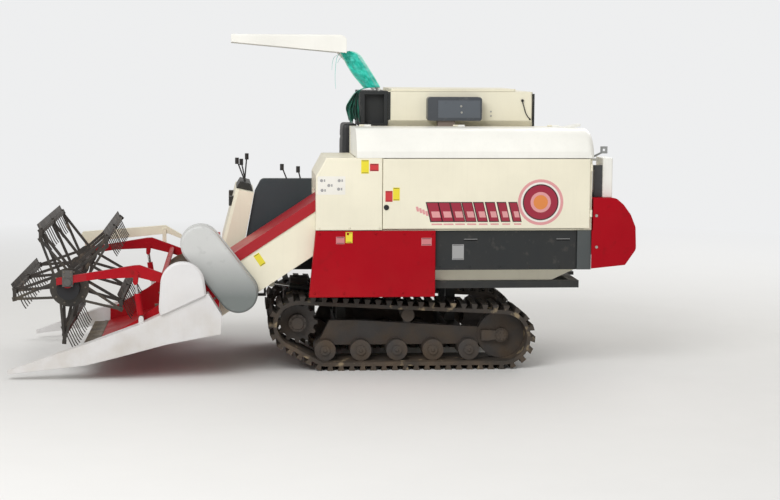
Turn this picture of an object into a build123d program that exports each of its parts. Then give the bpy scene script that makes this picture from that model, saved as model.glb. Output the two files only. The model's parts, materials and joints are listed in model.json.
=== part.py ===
"""Full-feed combine harvester on rubber tracks, as separate named pieces.

Millimetres. X points forward, Y to the machine's left and Z up. The origin is on the ground,
midway along the machine and midway between its sides.
"""

import os
from math import atan2, cos, degrees, hypot, pi, radians, sin, tan

from build123d import *

os.makedirs("parts", exist_ok=True)

# Clearances
SOFT_GAP = 0.3  # between a soft piece and what it rests on
PIN_GAP = 0.4  # between a pin and its eye, on the radius
LIFT_EYE_GAP = 2.6  # the same at the lift cylinder's rod, whose eye drifts a little from its pin
REEL_EYE_GAP = 1.4  # the same at the rods of the reel's cylinders

# Body
BODY_SIDE = 950  # from the centre plane to the outer faces of the side sheets
BODY_FRONT = 90
BODY_REAR = -2205
CHASSIS_TOP = 760
HOUSING_Y = (60, BODY_SIDE - 150)  # the threshing housing; its drives run outside its left face
BELT_Y = (HOUSING_Y[1] + 30, HOUSING_Y[1] + 55)
PANEL_INNER = BODY_SIDE - 90  # the inner faces of the front and red panels
DOOR_INNER = BODY_SIDE - 19
DOOR_STOP = DOOR_INNER - 6
DARK_PANEL_SIDE = BODY_SIDE - 38
CORNER_SIDE = BODY_SIDE - 15
HOUSING_TOP = 1780
SIDE_SEAM_X = -460  # between the front panel and the door
SIDE_SEAM_Z = 1195  # between the cream panels and the lower ones
RED_REAR_X = -900
CORNER_X = -2085
HOOD_TOP = 2020
HOOD_FRONT_X = -244
HOOD_EDGE_Z = 1790
HOOD_SHOULDER_Z = HOOD_EDGE_Z + 52
HOOD_CROWN_Y = BODY_SIDE - 310
HOOD_SHEET = 10
HOOD_ROUND = 60
HOOD_HINGE = (176, 2027)
HOOD_KNUCKLES = (-2060, -1234, -420)
DOOR_HINGE = (-2197, BODY_SIDE - 6)
DOOR_KNUCKLES = (1300, 1680)

# Undercarriage: X, Z and radius of the surfaces that carry the belts
TRACK_CENTRE = 575
TRACK_WIDTH = 450
SPROCKET = (230, 385, 175)
IDLER = (-1500, 270, 200)
ROLLER_RADIUS = 90
ROLLER_STATIONS = (-1215, -910, -605, -300, 0)
BELT = 32
LUG_HEIGHT = 38
LUG_LENGTH = 52
LUG_COUNT = 54
ROLLER_Z = LUG_HEIGHT + BELT + ROLLER_RADIUS

# Feeder house: it falls forward at this angle from its pivot on the body
FEEDER_ANGLE = radians(33.4)
FEEDER_PIVOT = (75, 1365)
FEEDER_ABOVE = 73
FEEDER_BELOW = 308
FEEDER_BAND = 82
FEEDER_Y = (255, PANEL_INNER - 10)
FEEDER_PIN = 16
FEEDER_BOSS = 34

# Header
HEADER_SIDE = 1020  # from the centre plane to the outer faces of its side plates
HEADER_BACK = 885
HEADER_TOP = 990
DIVIDER_WIDTH = 160
DIVIDER_SIDE = HEADER_SIDE + DIVIDER_WIDTH
DIVIDER_TIP = 2582
AUGER = (1170, 605)
AUGER_TUBE = 150
AUGER_FLIGHT = 235
KNIFE = (1930, 165)
KNIFE_PITCH = 76.2
FINGERS = int(2 * (HEADER_SIDE - 35) / KNIFE_PITCH) + 1
SHEET = 8

# Reel
REEL = (2090, 800)
REEL_RADIUS = 450
REEL_BARS = 5
REEL_PHASE = -12
RING_DROP = 60  # how far the ring's axis lies below the reel's
RING_PLATE = 158
REEL_PIVOT = (1085, 735)
ARM_Y = (HEADER_SIDE + 50, HEADER_SIDE + 85)
BAR_SIZE = 32
BAR_HALF = HEADER_SIDE - 90
SLAT_WIDTH = 66
TINE_LENGTH = 172
TINE_LEAN = radians(25)  # the tines trail behind straight down
TINE_COUNT = 13
TINE_PITCH = 2 * (BAR_HALF - 90) / (TINE_COUNT - 1)

# Grain tank and operator's station
TANK_X = (-1861, -582)
TANK_Y = (-930, 0)
TANK_Z = (1480, 2317)
TANK_LEDGE_Z = 2066
STATION_Y = (-930, 60)
FLOOR_Z = 900
COVER_TOP = 1400
PLATFORM_RIBS = (-1810, -1430, -1060, -690)
PLATFORM_HINGE = (-925, 700)
POST_TOP = (-185, 2670)
POST_FOOT = (-520, 2325)


def block(x, y, z):
    """A box between two values on each axis."""
    middle = [(low + high) / 2 for low, high in (x, y, z)]
    return Pos(*middle) * Box(abs(x[1] - x[0]), abs(y[1] - y[0]), abs(z[1] - z[0]))


def side_shape(sketch, y):
    """A sketch drawn as seen from the side (X across, Z up), carried from y[0] to y[1]."""
    return extrude(Plane.XZ.offset(-y[0]) * sketch, amount=-(y[1] - y[0]))


def front_shape(sketch, x):
    """A sketch of the cross-section (Y across, Z up), carried from x[0] to x[1]."""
    return extrude(Plane.YZ.offset(x[0]) * sketch, amount=x[1] - x[0])


def plan_shape(sketch, z):
    """A sketch seen from above, carried from z[0] to z[1]."""
    return extrude(Plane.XY.offset(z[0]) * sketch, amount=z[1] - z[0])


def outline(*points):
    """A closed polygon."""
    return make_face(Polyline(*points, close=True))


def rounded(sketch, radius, *corners):
    """The sketch with the corners nearest to the given points rounded."""
    chosen = []
    for x, y in corners:
        chosen.append(min(sketch.vertices(), key=lambda v: hypot(v.X - x, v.Y - y)))
    return fillet(chosen, radius)


def folded(points, thickness):
    """The edge view of a bent sheet that follows the points."""
    return trace(Polyline(*points), line_width=thickness)


def hull_of(*circles):
    """The outline stretched round circles given as X, Z and radius."""
    edges = [edge for x, z, r in circles for edge in (Pos(x, z) * Circle(r)).edges()]
    return make_hull(edges)


def link(a, b, width):
    """A flat bar with round ends, between two points of a sketch."""
    return hull_of((*a, width / 2), (*b, width / 2))


def rod(a, b, radius, bore=0):
    """A round bar or tube between two points in space."""
    start, end = Vector(*a), Vector(*b)
    ring = Circle(radius) - Circle(bore) if bore else Circle(radius)
    return extrude(Plane(origin=start, z_dir=end - start) * ring, amount=(end - start).length)


def cross_rod(centre, y, radius, bore=0):
    """A round bar or tube that runs across the machine."""
    return rod((centre[0], y[0], centre[1]), (centre[0], y[1], centre[1]), radius, bore)


def bent_tube(points, radius):
    """A round tube that follows the points, with mitred bends."""
    path = Polyline(*points)
    ring = Plane(origin=path @ 0, z_dir=path % 0) * Circle(radius)
    return sweep(ring, path=path, transition=Transition.RIGHT)


def outer_edges(shape, y):
    """The edges that lie wholly in the plane at this Y."""
    level = [e for e in shape.edges() if abs((e @ 0.5).Y - y) < 0.01]
    return [e for e in level if all(abs(v.Y - y) < 0.01 for v in e.vertices())]


def mirror_y(shape):
    return mirror(shape, about=Plane.XZ)


def save(name, shape):
    solids = shape.solids()
    body = solids[0] if len(solids) == 1 else Compound(children=list(solids))
    body.label = name
    export_step(body, f"parts/{name}.step")


def clevis(pin, y, gap, radius, base, thick):
    """Two cheeks and a pin that hold a cylinder's eye, welded on at the point base."""
    shape = cross_rod(pin, (y - gap - thick, y + gap + thick), radius)
    for low in (y - gap - thick, y + gap):
        shape += side_shape(hull_of((*pin, radius * 1.9), (*base, radius * 2.2)), (low, low + thick))
    return shape


def cylinder(foot, eye, y, bore_radius, pin_radius, half, share, eye_gap):
    """Barrel and rod of a hydraulic cylinder between two pins that lie across the machine."""
    reach = hypot(eye[0] - foot[0], eye[1] - foot[1])
    way = ((eye[0] - foot[0]) / reach, (eye[1] - foot[1]) / reach)

    def along(distance):
        return (foot[0] + way[0] * distance, y, foot[1] + way[1] * distance)

    eye_radius = pin_radius * 1.8
    neck = pin_radius * 2.5
    rod_radius = bore_radius * 0.55
    barrel = rod(along(neck), along(reach * share), bore_radius, rod_radius + 0.5)
    barrel += rod(along(neck), along(neck + 20), bore_radius)
    barrel += rod(along(0), along(neck + 5), eye_radius * 0.7)
    barrel += cross_rod(foot, (y - half, y + half), eye_radius)
    barrel -= cross_rod(foot, (y - 2 * half, y + 2 * half), pin_radius + PIN_GAP)
    shaft = rod(along(neck + 35), along(reach), rod_radius)
    shaft += cross_rod(eye, (y - half, y + half), eye_radius)
    shaft -= cross_rod(eye, (y - 2 * half, y + 2 * half), pin_radius + eye_gap)
    return barrel, shaft


# Tracks
def belt_outline(margin):
    """The loop round sprocket, idler and end rollers, at a distance outside them."""
    ends = [SPROCKET, IDLER]
    ends += [(x, ROLLER_Z, ROLLER_RADIUS) for x in (ROLLER_STATIONS[0], ROLLER_STATIONS[-1])]
    return hull_of(*[(x, z, r + margin) for x, z, r in ends])


track_y = (TRACK_CENTRE - TRACK_WIDTH / 2, TRACK_CENTRE + TRACK_WIDTH / 2)
loop = belt_outline(BELT).wire()
lugs = []
for step in range(LUG_COUNT):
    where, heading = loop.position_at(step / LUG_COUNT), loop.tangent_at(step / LUG_COUNT)
    turn = degrees(atan2(heading.Y, heading.X))
    lugs.append(Pos(where.X, where.Y) * Rot(0, 0, turn + 180) * Trapezoid(LUG_LENGTH, LUG_HEIGHT * 2, 75))
track = side_shape(Sketch() + [belt_outline(BELT)] + lugs - belt_outline(0), track_y)
save("track_left", track)
save("track_right", mirror_y(track))

# Track frames: a beam with bottom rollers, a carrier roller and the idler on its fork
idler_x, idler_z, idler_r = IDLER
beam_side = outline((-1400, 190), (-1400, 330), (-250, 400), (-40, 400), (60, 190))
carriage = side_shape(beam_side, (TRACK_CENTRE - 35, TRACK_CENTRE + 35))
carriage += block((-1405, -1330), (TRACK_CENTRE - 95, TRACK_CENTRE + 95), (225, 315))
for low in (TRACK_CENTRE - 95, TRACK_CENTRE + 75):
    fork = outline((idler_x - 40, 240), (idler_x - 40, 300), (-1380, 315), (-1380, 225))
    carriage += side_shape(fork, (low, low + 20))
idler_rim = idler_r - 1
idler_steps = ((60, -95), (60, -45), (idler_rim, -45), (idler_rim, 45), (60, 45), (60, 95))
idler = outline((0, -95), *idler_steps, (0, 95))
roller = outline((0, -150), (ROLLER_RADIUS - 1, -150), (ROLLER_RADIUS - 1, 150), (0, 150))
carrier = outline((0, -110), (55, -110), (55, 110), (0, 110))


def wheel_at(section, x, z):
    """A wheel turned from its half section, on an axle across the machine."""
    return Pos(x, TRACK_CENTRE, z) * revolve(section, Axis.Y)


carriage += wheel_at(idler, idler_x, idler_z)
for x in ROLLER_STATIONS:
    carriage += wheel_at(roller, x, ROLLER_Z)
carriage += block((-730, -670), (TRACK_CENTRE - 30, TRACK_CENTRE + 30), (350, 450))
carriage += wheel_at(carrier, -700, 450)
save("track_frames", carriage + mirror_y(carriage))

# Sprockets
sprocket_x, sprocket_z, sprocket_r = SPROCKET
TEETH = 12
tooth_points = []
tooth_root, tooth_tip = sprocket_r - 30, sprocket_r - 2
for step in range(TEETH):
    for share, radius in ((-0.32, tooth_root), (-0.14, tooth_tip), (0.14, tooth_tip), (0.32, tooth_root)):
        turn = 2 * pi * (step + share) / TEETH
        tooth_points.append((sprocket_x + radius * cos(turn), sprocket_z + radius * sin(turn)))
sprocket = side_shape(outline(*tooth_points), (TRACK_CENTRE - 25, TRACK_CENTRE + 25))
sprocket += cross_rod((sprocket_x, sprocket_z), (TRACK_CENTRE - 40, TRACK_CENTRE + 90), 75)
save("sprockets", sprocket + mirror_y(sprocket))

# Gearbox between the sprockets, with a final drive to each
gearbox = block((60, 330), (-150, 150), (300, 640))
gearbox = chamfer(gearbox.edges().filter_by(Axis.Y), 50)
gearbox += block((120, 270), (-90, 90), (640, 700))
for side in (-1, 1):
    gearbox += cross_rod((sprocket_x, sprocket_z), (side * 140, side * (TRACK_CENTRE - 40)), 85)
gearbox += block((0, 70), (-120, 120), (560, 700))
save("gearbox", gearbox)

# Beams under the chassis that join the track frames, each with two posts
RAIL_Y = (track_y[0] - 150, track_y[0] - 70)
RAIL_Z = (640, CHASSIS_TOP)
beams = Part()
for x in (-160, -1110):
    beams += block((x - 50, x + 50), (-TRACK_CENTRE + 35, TRACK_CENTRE - 35), (255, 345))
    for side in (-1, 1):
        beams += block((x - 40, x + 40), (side * RAIL_Y[0], side * RAIL_Y[1]), (345, RAIL_Z[0]))
save("cross_beams", beams)

# Lift cylinder under the feeder house
LIFT_FOOT = (-40, 600)
LIFT_EYE = (440, 680)
LIFT_Y = (RAIL_Y[1] + track_y[0]) / 2
LIFT_PIN = 14
lift_barrel, lift_rod = cylinder(LIFT_FOOT, LIFT_EYE, LIFT_Y, 28, LIFT_PIN, 20, 0.68, LIFT_EYE_GAP)
save("lift_barrel", lift_barrel)
save("lift_rod", lift_rod)

# Chassis: two rails, outer rails and cross members, with a drawbar at the rear
CROSS_MEMBERS = (-2120, -1640, -1160, -680, -200, -50)
DRAWBAR_PIN = 16
OUTER_RAIL_Y = (HOUSING_Y[1] + 10, HOUSING_Y[1] + 60)
chassis = Part()
for side in (-1, 1):
    chassis += block((-2120, 60), (side * RAIL_Y[0], side * RAIL_Y[1]), RAIL_Z)
    chassis += block((-2120, 30), (side * OUTER_RAIL_Y[0], side * OUTER_RAIL_Y[1]), (700, CHASSIS_TOP))
for x in CROSS_MEMBERS:
    chassis += block((x, x + 80), (-OUTER_RAIL_Y[1], OUTER_RAIL_Y[1]), (700, CHASSIS_TOP))
tongue = outline((-2110, -90), (-2110, 90), (-2200, 45), (-2240, 45), (-2240, -45), (-2200, -45))
chassis += plan_shape(tongue, (705, 735))
chassis -= Pos(-2210, 0, 720) * Cylinder(DRAWBAR_PIN, 60)
chassis += clevis(LIFT_FOOT, LIFT_Y, 22, LIFT_PIN, (-40, 720), 8)
save("chassis_frame", chassis)

# Threshing housing: closed sides, a mouth for the feeder house and an outlet for straw
housing_outline = outline(
    (84, 900), (84, 1637), (2, 1786), (HOOD_FRONT_X + 4, 1786), (HOOD_FRONT_X + 4, HOUSING_TOP),
    (BODY_REAR, HOUSING_TOP), (BODY_REAR, 900), (-1900, CHASSIS_TOP), (-60, CHASSIS_TOP),
)
housing = side_shape(housing_outline, HOUSING_Y)
housing -= block((-8, 100), (FEEDER_Y[0] - 15, HOUSING_Y[1] + 1), (870, 1505))
outlet = outline((BODY_REAR - 5, 920), (BODY_REAR - 5, 1450), (-1800, 1450), (-1900, 920))
housing -= side_shape(outlet, (HOUSING_Y[0] + 70, HOUSING_Y[1] - 70))
housing += block((BODY_REAR, SIDE_SEAM_X), (HOUSING_Y[1], DOOR_STOP), (SIDE_SEAM_Z - 5, SIDE_SEAM_Z + 5))
housing += block((BODY_REAR, SIDE_SEAM_X), (HOUSING_Y[1], DOOR_STOP), (HOUSING_TOP - 14, HOUSING_TOP))
housing += block((BODY_REAR, -2150), (HOUSING_Y[1], DOOR_STOP), (SIDE_SEAM_Z, HOUSING_TOP))
housing += block((BODY_REAR, HOOD_FRONT_X), (HOUSING_Y[0], 168), (HOUSING_TOP, HOOD_TOP))
for x in HOOD_KNUCKLES:
    housing += rod((x + 60.3, *HOOD_HINGE), (x + 100, *HOOD_HINGE), 8)
    housing += block((x + 60.3, x + 100), (150, HOOD_HINGE[0]), (HOOD_TOP - 3, HOOD_TOP + 4))
for z in DOOR_KNUCKLES:
    housing += rod((*DOOR_HINGE, z + 30.3), (*DOOR_HINGE, z + 60), 9)
    eye_x = (DOOR_HINGE[0] - 6, DOOR_HINGE[0] + 6)
    housing += block(eye_x, (DOOR_STOP - 5, DOOR_HINGE[1]), (z + 30.3, z + 60))
drum = Circle(190) - Pos(0, -200) * Rectangle(500, 400)
housing += front_shape(Pos(500, HOUSING_TOP) * drum, (-2150, -300))
housing += cross_rod(FEEDER_PIVOT, (FEEDER_Y[0] - 16, FEEDER_Y[0] + 6), FEEDER_PIN)
save("thresher_housing", housing)

# Drives behind the side door: X, Z and radius of each pulley, and which pulleys a belt joins
PULLEYS = {
    "fan": (-640, 1560, 105),
    "drum": (-1000, 1420, 170),
    "screw": (-1420, 1540, 90),
    "sieve": (-1900, 1400, 130),
}
BELT_DEPTH = 10
BELTS = (("fan", "drum"), ("screw", "sieve"))
drives = Part()
for first, second in BELTS:
    ends = [PULLEYS[first], PULLEYS[second]]
    loop = hull_of(*[(x, z, r + BELT_DEPTH) for x, z, r in ends]) - hull_of(*ends)
    for x, z, r in ends:
        loop += Pos(x, z) * (Circle(r) - Circle(r - 25)) + Pos(x, z) * Rectangle(2 * r - 30, 40)
        drives += block((x - 20, x + 20), (HOUSING_Y[1], BELT_Y[0]), (z - 20, z + 20))
    drives += side_shape(loop, BELT_Y)
save("side_drive", drives)

# Side sheets
panel_rear = SIDE_SEAM_X + 4
panel_top = ((BODY_FRONT, 1635), (5, HOOD_EDGE_Z), (panel_rear, HOOD_EDGE_Z))
panel_outline = outline((BODY_FRONT, SIDE_SEAM_Z), *panel_top, (panel_rear, SIDE_SEAM_Z))
side_panel = side_shape(panel_outline, (PANEL_INNER, BODY_SIDE))
save("side_panel_front", fillet(outer_edges(side_panel, BODY_SIDE), 8))

door = block((-2186, SIDE_SEAM_X), (DOOR_INNER, BODY_SIDE), (SIDE_SEAM_Z + 10, 1784))
door = fillet(outer_edges(door, BODY_SIDE), 8)
for x in (-2140, -540):
    door += block((x, x + 40), (DOOR_STOP + 1, DOOR_INNER), (1260, 1740))
for z in DOOR_KNUCKLES:
    door += rod((*DOOR_HINGE, z + 1), (*DOOR_HINGE, z + 30), 9)
    door += block((DOOR_HINGE[0], -2186), (BODY_SIDE - 10, BODY_SIDE - 2), (z + 1, z + 30))
save("side_door", door)

red_top, red_rear = SIDE_SEAM_Z - 5, RED_REAR_X + 2
red_outline = outline((BODY_FRONT, red_top), (145, 640), (red_rear, 640), (red_rear, red_top))
red_panel = side_shape(red_outline, (PANEL_INNER, BODY_SIDE))
save("lower_panel_red", fillet(outer_edges(red_panel, BODY_SIDE), 8))
dark_panel = block((CORNER_X + 2, RED_REAR_X - 2), (HOUSING_Y[1], DARK_PANEL_SIDE), (860, SIDE_SEAM_Z - 5))
for x in (-1195, -1972):
    dark_panel -= block((x - 56, x + 56), (DARK_PANEL_SIDE - 12, DARK_PANEL_SIDE + 3), (1102, 1114))
save("lower_panel_dark", dark_panel)
corner = block((BODY_REAR, CORNER_X - 2), (HOUSING_Y[1], CORNER_SIDE), (860, SIDE_SEAM_Z - 5))
save("rear_corner_panel", fillet(outer_edges(corner, CORNER_SIDE), 8))


# Hood over the threshing drum: an arched lid with end walls, hinged along its inner edge
def hood_section(inset):
    """The hood's cross-section, drawn in by an even inset; an inset one runs on past the open sides."""
    beyond = 40 if inset else 0
    low, inner = HOOD_EDGE_Z - beyond, HOOD_HINGE[0] + 6 - beyond
    side, top = BODY_SIDE - inset, HOOD_TOP - inset
    shoulder = (side, HOOD_SHOULDER_Z)
    crown = (HOOD_CROWN_Y, top)
    middle = (BODY_SIDE - 84 - inset * 0.7, HOOD_TOP - 54 - inset * 0.75)
    lines = Line((side, low), shoulder) + ThreePointArc(shoulder, middle, crown)
    lines += Line(crown, (inner, top)) + Line((inner, top), (inner, low)) + Line((inner, low), (side, low))
    return make_face(lines)


def rear_arch_of(shape, x):
    """The upper edges of the hood's rear end."""
    ends = [e for e in shape.edges() if all(abs(v.X - x) < 0.01 for v in e.vertices())]
    return [e for e in ends if (e @ 0.5).Z > 1850 and (e @ 0.5).Y > 190]


HOOD_X = (-2222, HOOD_FRONT_X)
hood = front_shape(hood_section(0), HOOD_X)
hood = fillet(rear_arch_of(hood, HOOD_X[0]), HOOD_ROUND)
space = front_shape(hood_section(HOOD_SHEET), (HOOD_X[0] + HOOD_SHEET, HOOD_X[1] - HOOD_SHEET))
hood -= fillet(rear_arch_of(space, HOOD_X[0] + HOOD_SHEET), HOOD_ROUND - HOOD_SHEET)
wedge = outline((-1944, HOOD_TOP - 3), (-2158, HOOD_TOP + 40), (-2158, HOOD_TOP + 22), (-2040, HOOD_TOP - 3))
hood += side_shape(wedge, (HOOD_CROWN_Y - 160, HOOD_CROWN_Y - 2))
for x in HOOD_KNUCKLES:
    hood += rod((x, *HOOD_HINGE), (x + 60, *HOOD_HINGE), 8)
    hood += block((x, x + 60), (HOOD_HINGE[0], HOOD_HINGE[0] + 20), (HOOD_TOP - 1, HOOD_TOP + 6))
save("hood", hood)

# Rear hood over the straw outlet, with its flap, box and bracket
REAR_TOP = 1460
LAMP_HOLE = (-2348, 1846, 11)  # X, Z and radius
rear_curve = ((-2405, REAR_TOP), (-2471, 1403), (-2532, 1320), (-2574, 1217), (-2582, 1030), (-2491, 899))
rear_side = outline((BODY_REAR, REAR_TOP), *rear_curve, (BODY_REAR, 870))
rear_side = rounded(rear_side, 70, (-2405, REAR_TOP), (-2574, 1217), (-2582, 1030))
rear_line = ((BODY_REAR, 1455), (-2385, 1455), (-2460, 1402), (-2522, 1318), (-2556, 1240))
rear_hood = side_shape(folded(rear_line, SHEET), (HOUSING_Y[0], BODY_SIDE))
for y in ((BODY_SIDE - 12, BODY_SIDE), (HOUSING_Y[0], HOUSING_Y[0] + 12)):
    rear_hood += side_shape(rear_side, y)
rear_hood -= block((-2215, -2180), (BODY_SIDE - 20, BODY_SIDE + 10), (SIDE_SEAM_Z - 5, HOOD_EDGE_Z))
save("rear_hood", rear_hood)
flap_line = ((-2558, 1230), (-2566, 1150), (-2568, 1020))
save("straw_flap", side_shape(folded(flap_line, 6), (HOUSING_Y[0] + 12, BODY_SIDE - 12)))
rear_box = block((-2394, -2311), (560, 850), (REAR_TOP, 1784))
rear_box = fillet(rear_box.edges().filter_by(Axis.Z), 12)
rear_box += block((-2312, -2240), (770, 830), (REAR_TOP, 1724))
rear_box += block((-2240, BODY_REAR), (780, 820), (REAR_TOP, REAR_TOP + 40))
rear_box += block((-2240, BODY_REAR), (780, 820), (1684, 1724))
lamp_x, lamp_z, lamp_hole = LAMP_HOLE
rear_box += side_shape(folded(((BODY_REAR - 5, 1765), (lamp_x + 23, lamp_z - 24)), 14), (690, 710))
rear_box += block((lamp_x - 30, lamp_x + 30), (697, 703), (lamp_z - 30, lamp_z + 30))
rear_box -= cross_rod((lamp_x, lamp_z), (690, 710), lamp_hole)
rear_box += block((-2300, BODY_REAR), (695, 705), (1755, 1775))
save("rear_box", rear_box)

# Grain tank with a ledge, three bagging spouts and a lid
SPOUTS = (-1600, -1240, -880)
TANK_RIBS = (-1740, -1480, -1220, -960, -700)
TANK_WALL = 6
tank_low, tank_high = TANK_Z
left_edge = ((TANK_Y[1], TANK_LEDGE_Z), (-70, 1960), (-70, tank_low))
tank_outline = outline((TANK_Y[0], tank_low), (TANK_Y[0], tank_high), (TANK_Y[1], tank_high), *left_edge)
tank = front_shape(tank_outline, TANK_X)
tank = fillet(tank.edges().filter_by(Axis.Z).filter_by(lambda e: e.length > 250), 25)
tank -= front_shape(offset(tank_outline, -TANK_WALL), (TANK_X[0] + TANK_WALL, TANK_X[1] - TANK_WALL))
tank_right = TANK_Y[0] + 3
slope = outline((tank_right, 1486), (tank_right, 1494), (-66, 1760), (-66, 1752))
tank += front_shape(slope, (TANK_X[0] + 3, TANK_X[1] - 3))
for x in TANK_RIBS:
    tank += block((x - 25, x + 25), (TANK_Y[0] - 7, TANK_Y[0] + 1), (1740, tank_high - 60))
LID_X = (-1680, -640)
LID_Y = (-800, -40)
tank -= block(LID_X, LID_Y, (tank_high - 10, tank_high + 10))
chute = outline((tank_right, 1700), (-1000, 1640), (-1050, 1470), (-950, 1450), (tank_right, 1540))
bore = outline((tank_right + 17, 1680), (-994, 1634), (-1046, 1460), (-954, 1440), (tank_right + 17, 1550))
for x in SPOUTS:
    tank += front_shape(chute, (x - 60, x + 60))
    tank -= front_shape(bore, (x - 54, x + 54))
LID_HINGE = (LID_Y[0] - 40, tank_high + 10)
for x in (-1600, -1160):
    tank += rod((x, *LID_HINGE), (x + 60, *LID_HINGE), 8)
    tank += block((x, x + 60), (LID_HINGE[0] - 8, LID_HINGE[0] + 8), (tank_high - 3, LID_HINGE[1]))
save("grain_tank", tank)
lid = block((LID_X[0] - 30, LID_X[1] + 30), (LID_Y[0] - 25, LID_Y[1] + 30), (tank_high + 2, tank_high + 24))
lid = fillet(lid.edges().filter_by(Axis.Z), 20)
for x in (-1539.7, -1099.7):
    lid += rod((x, *LID_HINGE), (x + 60, *LID_HINGE), 8)
    lid += block((x, x + 60), (LID_HINGE[0], LID_HINGE[0] + 20), (tank_high + 6, tank_high + 14))
save("tank_lid", lid)
base = block((TANK_X[0] + 20, TANK_X[1] - 38), (-900, HOUSING_Y[0]), (CHASSIS_TOP, TANK_Z[0]))
for x in PLATFORM_RIBS:
    base += block((x + 40.3, x + 60), (-931, -900), (700, 800))
    base += rod((x + 40.3, *PLATFORM_HINGE), (x + 60, *PLATFORM_HINGE), 6)
save("tank_base", base)
head = block((-1393, -919), (0, 120), (TANK_LEDGE_Z, 2272))
head = fillet(head.edges().filter_by(Axis.Y), 25)
head += block((-1160, -1010), (10, 100), (HOOD_TOP, TANK_LEDGE_Z + 10))
save("elevator_head", head)
intake = block((-582, -347), (-700, 0), (2007, 2319)) - block((-548, -380), (-60, 1), (2040, 2290))
intake += block((-540, -390), (-700, -450), (COVER_TOP, 2007))
save("intake_box", intake)

# Engine with its cover, which carries the seat, and a hinged screen over the radiator
save("engine_block", block((-520, -60), (-760, -160), (CHASSIS_TOP, 1300)))
cover_x = (-582, -10)
cover = block(cover_x, STATION_Y, (CHASSIS_TOP, COVER_TOP))
cover_inside = (cover_x[0] + 6, cover_x[1] - 6)
cover -= block(cover_inside, (STATION_Y[0] - 6, STATION_Y[1] - 6), (CHASSIS_TOP - 5, COVER_TOP - 6))
cover += rod((-500, -840, COVER_TOP - 3), (-500, -840, 1720), 32)
cover += block((-300, 20), (-620, -220), (COVER_TOP, COVER_TOP + 50))
cover += block((-344, -331), (-560, -280), (COVER_TOP, 1900))
SCREEN_HINGE = (-576, STATION_Y[0] - 12)
SCREEN_KNUCKLES = (900, 1250)
for z in SCREEN_KNUCKLES:
    cover += rod((*SCREEN_HINGE, z), (*SCREEN_HINGE, z + 30), 8)
    cover += block((-582, -568), (SCREEN_HINGE[1], STATION_Y[0]), (z, z + 30))
save("engine_cover", cover)
screen_x, screen_z = (-562, -22), (CHASSIS_TOP + 15, COVER_TOP - 10)
screen = block(screen_x, (STATION_Y[0] - 22, STATION_Y[0] - 6), screen_z)
SLATS = 11
slat_step = (screen_z[1] - screen_z[0] - 60) / SLATS
slot_x = (screen_x[0] + 35, screen_x[1] - 35)
for step in range(SLATS):
    low = screen_z[0] + 30 + step * slat_step
    screen -= block(slot_x, (STATION_Y[0] - 23, STATION_Y[0]), (low + 8, low + slat_step - 8))
for cover_knuckle in SCREEN_KNUCKLES:
    z = cover_knuckle + 30.3
    screen += rod((*SCREEN_HINGE, z), (*SCREEN_HINGE, z + 30), 8)
    leaf_y = (SCREEN_HINGE[1] - 6, SCREEN_HINGE[1] + 2)
    screen += block((SCREEN_HINGE[0], screen_x[0] + 5), leaf_y, (z, z + 30))
save("radiator_screen", screen)

# Bagging platform, folded up against the tank base
platform = block((-1820, -640), (-962, -932), (690, 1180))
for x in PLATFORM_RIBS:
    platform += block((x, x + 40), (-932, -900.3), (690, 1180))
    platform += rod((x + 1, *PLATFORM_HINGE), (x + 40, *PLATFORM_HINGE), 12)
save("bag_platform", platform)

# Operator's station
floor_panel = block((-10, 720), STATION_Y, (FLOOR_Z - 30, FLOOR_Z))
floor_panel += block((-10, 600), (-860, 0), (CHASSIS_TOP, FLOOR_Z - 30))
for x in (470, 690):
    floor_panel += side_shape(folded(((x, FLOOR_Z - 20), (x, 400)), 20), (-975, -945))
for z in (410, 640, FLOOR_Z - 20):
    floor_panel += block((460, 700), (-1000, -925), (z - 10, z + 10))
save("operator_floor", floor_panel)
cowl_outline = outline((640, FLOOR_Z), (790, FLOOR_Z), (861, 1006), (739, 1474), (584, 1440), (663, 1031))
cowl = side_shape(cowl_outline, (-860, 90))
front_corners = [e for e in cowl.edges() if e.length > 400 and abs((e % 0.5).Y) < 0.1]
cowl = chamfer([e for e in front_corners if (e @ 0.5).X > 780], 28)
save("front_cowl", cowl)
console_outline = outline((-10, FLOOR_Z), (-10, 1560), (520, 1560), (575, 1455), (652, 1040), (635, FLOOR_Z))
console_outline = rounded(console_outline, 45, (520, 1560))
console = side_shape(console_outline, (-30, STATION_Y[1]))
save("side_console", console)
dash = side_shape(outline((590, 1441), (735, 1473), (700, 1530), (615, 1510)), (-620, -40))
LEVERS = (  # foot X and Z, head X and Z, Y
    (650, 1500, 728, 1707, -120),
    (650, 1500, 690, 1690, -250),
    (660, 1500, 640, 1730, -400),
    (300, 1558, 340, 1660, 10),
    (180, 1558, 200, 1640, 10),
)
for foot_x, foot_z, head_x, head_z, y in LEVERS:
    dash += side_shape(folded(((foot_x, foot_z), (head_x, head_z)), 12), (y - 6, y + 6))
    dash += plan_shape(Pos(head_x, y) * RegularPolygon(17, 8), (head_z - 30, head_z + 25))
save("levers", dash - cowl - console)
cushion = block((-280, 60), (-640, -200), (COVER_TOP + 50 + SOFT_GAP, COVER_TOP + 140))
save("seat_cushion", chamfer(cushion.edges().filter_by(Axis.Z) + cushion.edges().group_by(Axis.Z)[-1], 24))
backrest = block((-331 + SOFT_GAP, -190), (-630, -210), (1560, 2030))
save("seat_backrest", chamfer(backrest.edges().filter_by(Axis.X), 50))
rail_points = ((40, FLOOR_Z), (40, 1390), (80, 1450), (290, 1450), (330, 1390), (330, FLOOR_Z))
rail = bent_tube([(x, -900, z) for x, z in rail_points], 14)
save("handrail", rail)

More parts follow.
